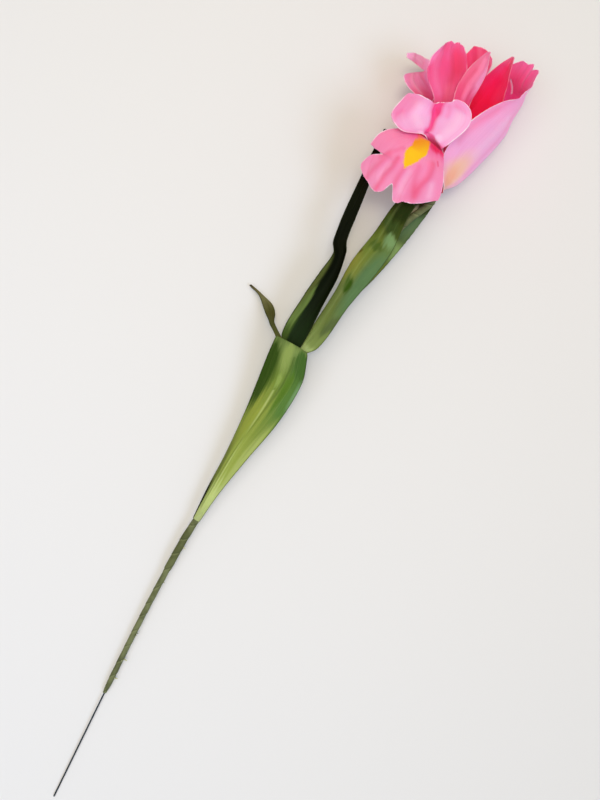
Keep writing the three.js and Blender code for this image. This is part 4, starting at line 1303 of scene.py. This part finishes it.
class IRIS_OT_core(bpy.types.Operator):
    """Finishes the moulded core of the bloom, whose solid has its true shape"""

    bl_idname = "iris.core"
    bl_label = "Flower core"

    def execute(self, context):
        material = moulded_polyethylene(context.scene.iris_colours.core)
        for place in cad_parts["flower_core"].material_slots:
            place.material = material
        return {"FINISHED"}


class IRIS_OT_falls(bpy.types.Operator):
    """Makes the three falls, the outer ring of petals"""

    bl_idname = "iris.falls"
    bl_label = "Falls"

    def execute(self, context):
        return make_petals(context, "fall")


class IRIS_OT_crests(bpy.types.Operator):
    """Makes the three crests that lie on the falls"""

    bl_idname = "iris.crests"
    bl_label = "Crests"

    def execute(self, context):
        return make_petals(context, "crest")


class IRIS_OT_standards(bpy.types.Operator):
    """Makes the three standards, the inner ring of petals"""

    bl_idname = "iris.standards"
    bl_label = "Standards"

    def execute(self, context):
        return make_petals(context, "standard")


class IRIS_OT_leaves(bpy.types.Operator):
    """Makes the three cloth leaves"""

    bl_idname = "iris.leaves"
    bl_label = "Leaves"

    def execute(self, context):
        threads = loose_thread_tree()
        for seed, (name, look) in enumerate(PRINTS.items()):
            material = printed_leaf_cloth(
                "printed_leaf_cloth_" + name, look, context.scene.iris_sizes.thread, seed)
            make_blade(context, name, name, material, threads)
        return {"FINISHED"}


def make_light(name, kind, power, colour):
    """A light of a kind, power and colour, at the origin and facing down."""
    light = bpy.data.objects.new(name, bpy.data.lights.new(name, kind))
    bpy.context.scene.collection.objects.link(light)
    light.data.energy = power
    light.data.color = colour
    return light


class IRIS_OT_stage(bpy.types.Operator):
    """Sets the pale table, the soft light and the camera straight above"""

    bl_idname = "iris.stage"
    bl_label = "Table, light and camera"

    def execute(self, context):
        scene = context.scene
        mesh = bpy.data.meshes.new("table")
        corners = [(x * TABLE_REACH, y * TABLE_REACH, 0) for x, y in ((-1, -1), (1, -1), (1, 1), (-1, 1))]
        mesh.from_pydata(corners, [], [(0, 1, 2, 3)])
        placed("table", mesh, painted_board(scene.iris_colours.table))

        camera = bpy.data.objects.new("camera", bpy.data.cameras.new("camera"))
        scene.collection.objects.link(camera)
        camera.location = CAMERA_PLACE
        camera.rotation_euler = (0, 0, math.radians(CAMERA_TURN))
        camera.data.lens = 30
        camera.data.sensor_width = 36
        scene.camera = camera

        window = make_light("window", "SUN", *WINDOW_LIGHT)
        window.data.angle = math.radians(WINDOW_SPREAD)
        x, y, z = unit(np.array(WINDOW_WAY))
        window.rotation_euler = (math.acos(-z), 0, math.atan2(y, x) - math.pi / 2)
        for name, (power, colour, size, place) in LAMPS.items():
            light = make_light(name, "AREA", power, colour)
            light.data.size = size
            light.location = place

        world = bpy.data.worlds.new("room")
        world.use_nodes = True
        backdrop = world.node_tree.nodes["Background"]
        backdrop.inputs["Color"].default_value = ROOM_COLOUR
        backdrop.inputs["Strength"].default_value = ROOM_STRENGTH
        scene.world = world
        scene.view_settings.view_transform = "Standard"
        scene.view_settings.look = "None"
        return {"FINISHED"}


class IRIS_PT_panel(bpy.types.Panel):
    """Sizes, colours and buttons for the artificial iris"""

    bl_idname = "IRIS_PT_panel"
    bl_label = "Artificial iris"
    bl_space_type = "VIEW_3D"
    bl_region_type = "UI"
    bl_category = "Iris"

    def draw(self, context):
        for group in (context.scene.iris_sizes, context.scene.iris_colours):
            for name in group.__annotations__:
                self.layout.prop(group, name)
        for operator in OPERATORS:
            self.layout.operator(operator.bl_idname)


OPERATORS = (IRIS_OT_wire, IRIS_OT_tape, IRIS_OT_core, IRIS_OT_falls, IRIS_OT_crests, IRIS_OT_standards,
             IRIS_OT_leaves, IRIS_OT_stage)
CLASSES = (IrisSizes, IrisColours, *OPERATORS, IRIS_PT_panel)


def register():
    """Adds the settings, the operators and the panel to Blender."""
    for made in CLASSES:
        bpy.utils.register_class(made)
    bpy.types.Scene.iris_sizes = bpy.props.PointerProperty(type=IrisSizes)
    bpy.types.Scene.iris_colours = bpy.props.PointerProperty(type=IrisColours)


def unregister():
    """Takes them out again."""
    del bpy.types.Scene.iris_colours
    del bpy.types.Scene.iris_sizes
    for made in reversed(CLASSES):
        bpy.utils.unregister_class(made)


def main():
    """Makes the whole scene in place of Blender's own first objects."""
    for name in ("Cube", "Light", "Camera"):
        if name in bpy.data.objects:
            bpy.data.objects.remove(bpy.data.objects[name])
    register()
    bpy.ops.iris.wire()
    bpy.ops.iris.tape()
    bpy.ops.iris.core()
    bpy.ops.iris.falls()
    bpy.ops.iris.crests()
    bpy.ops.iris.standards()
    bpy.ops.iris.leaves()
    bpy.ops.iris.stage()
    bpy.context.view_layer.update()


if __name__ == "__main__":
    main()
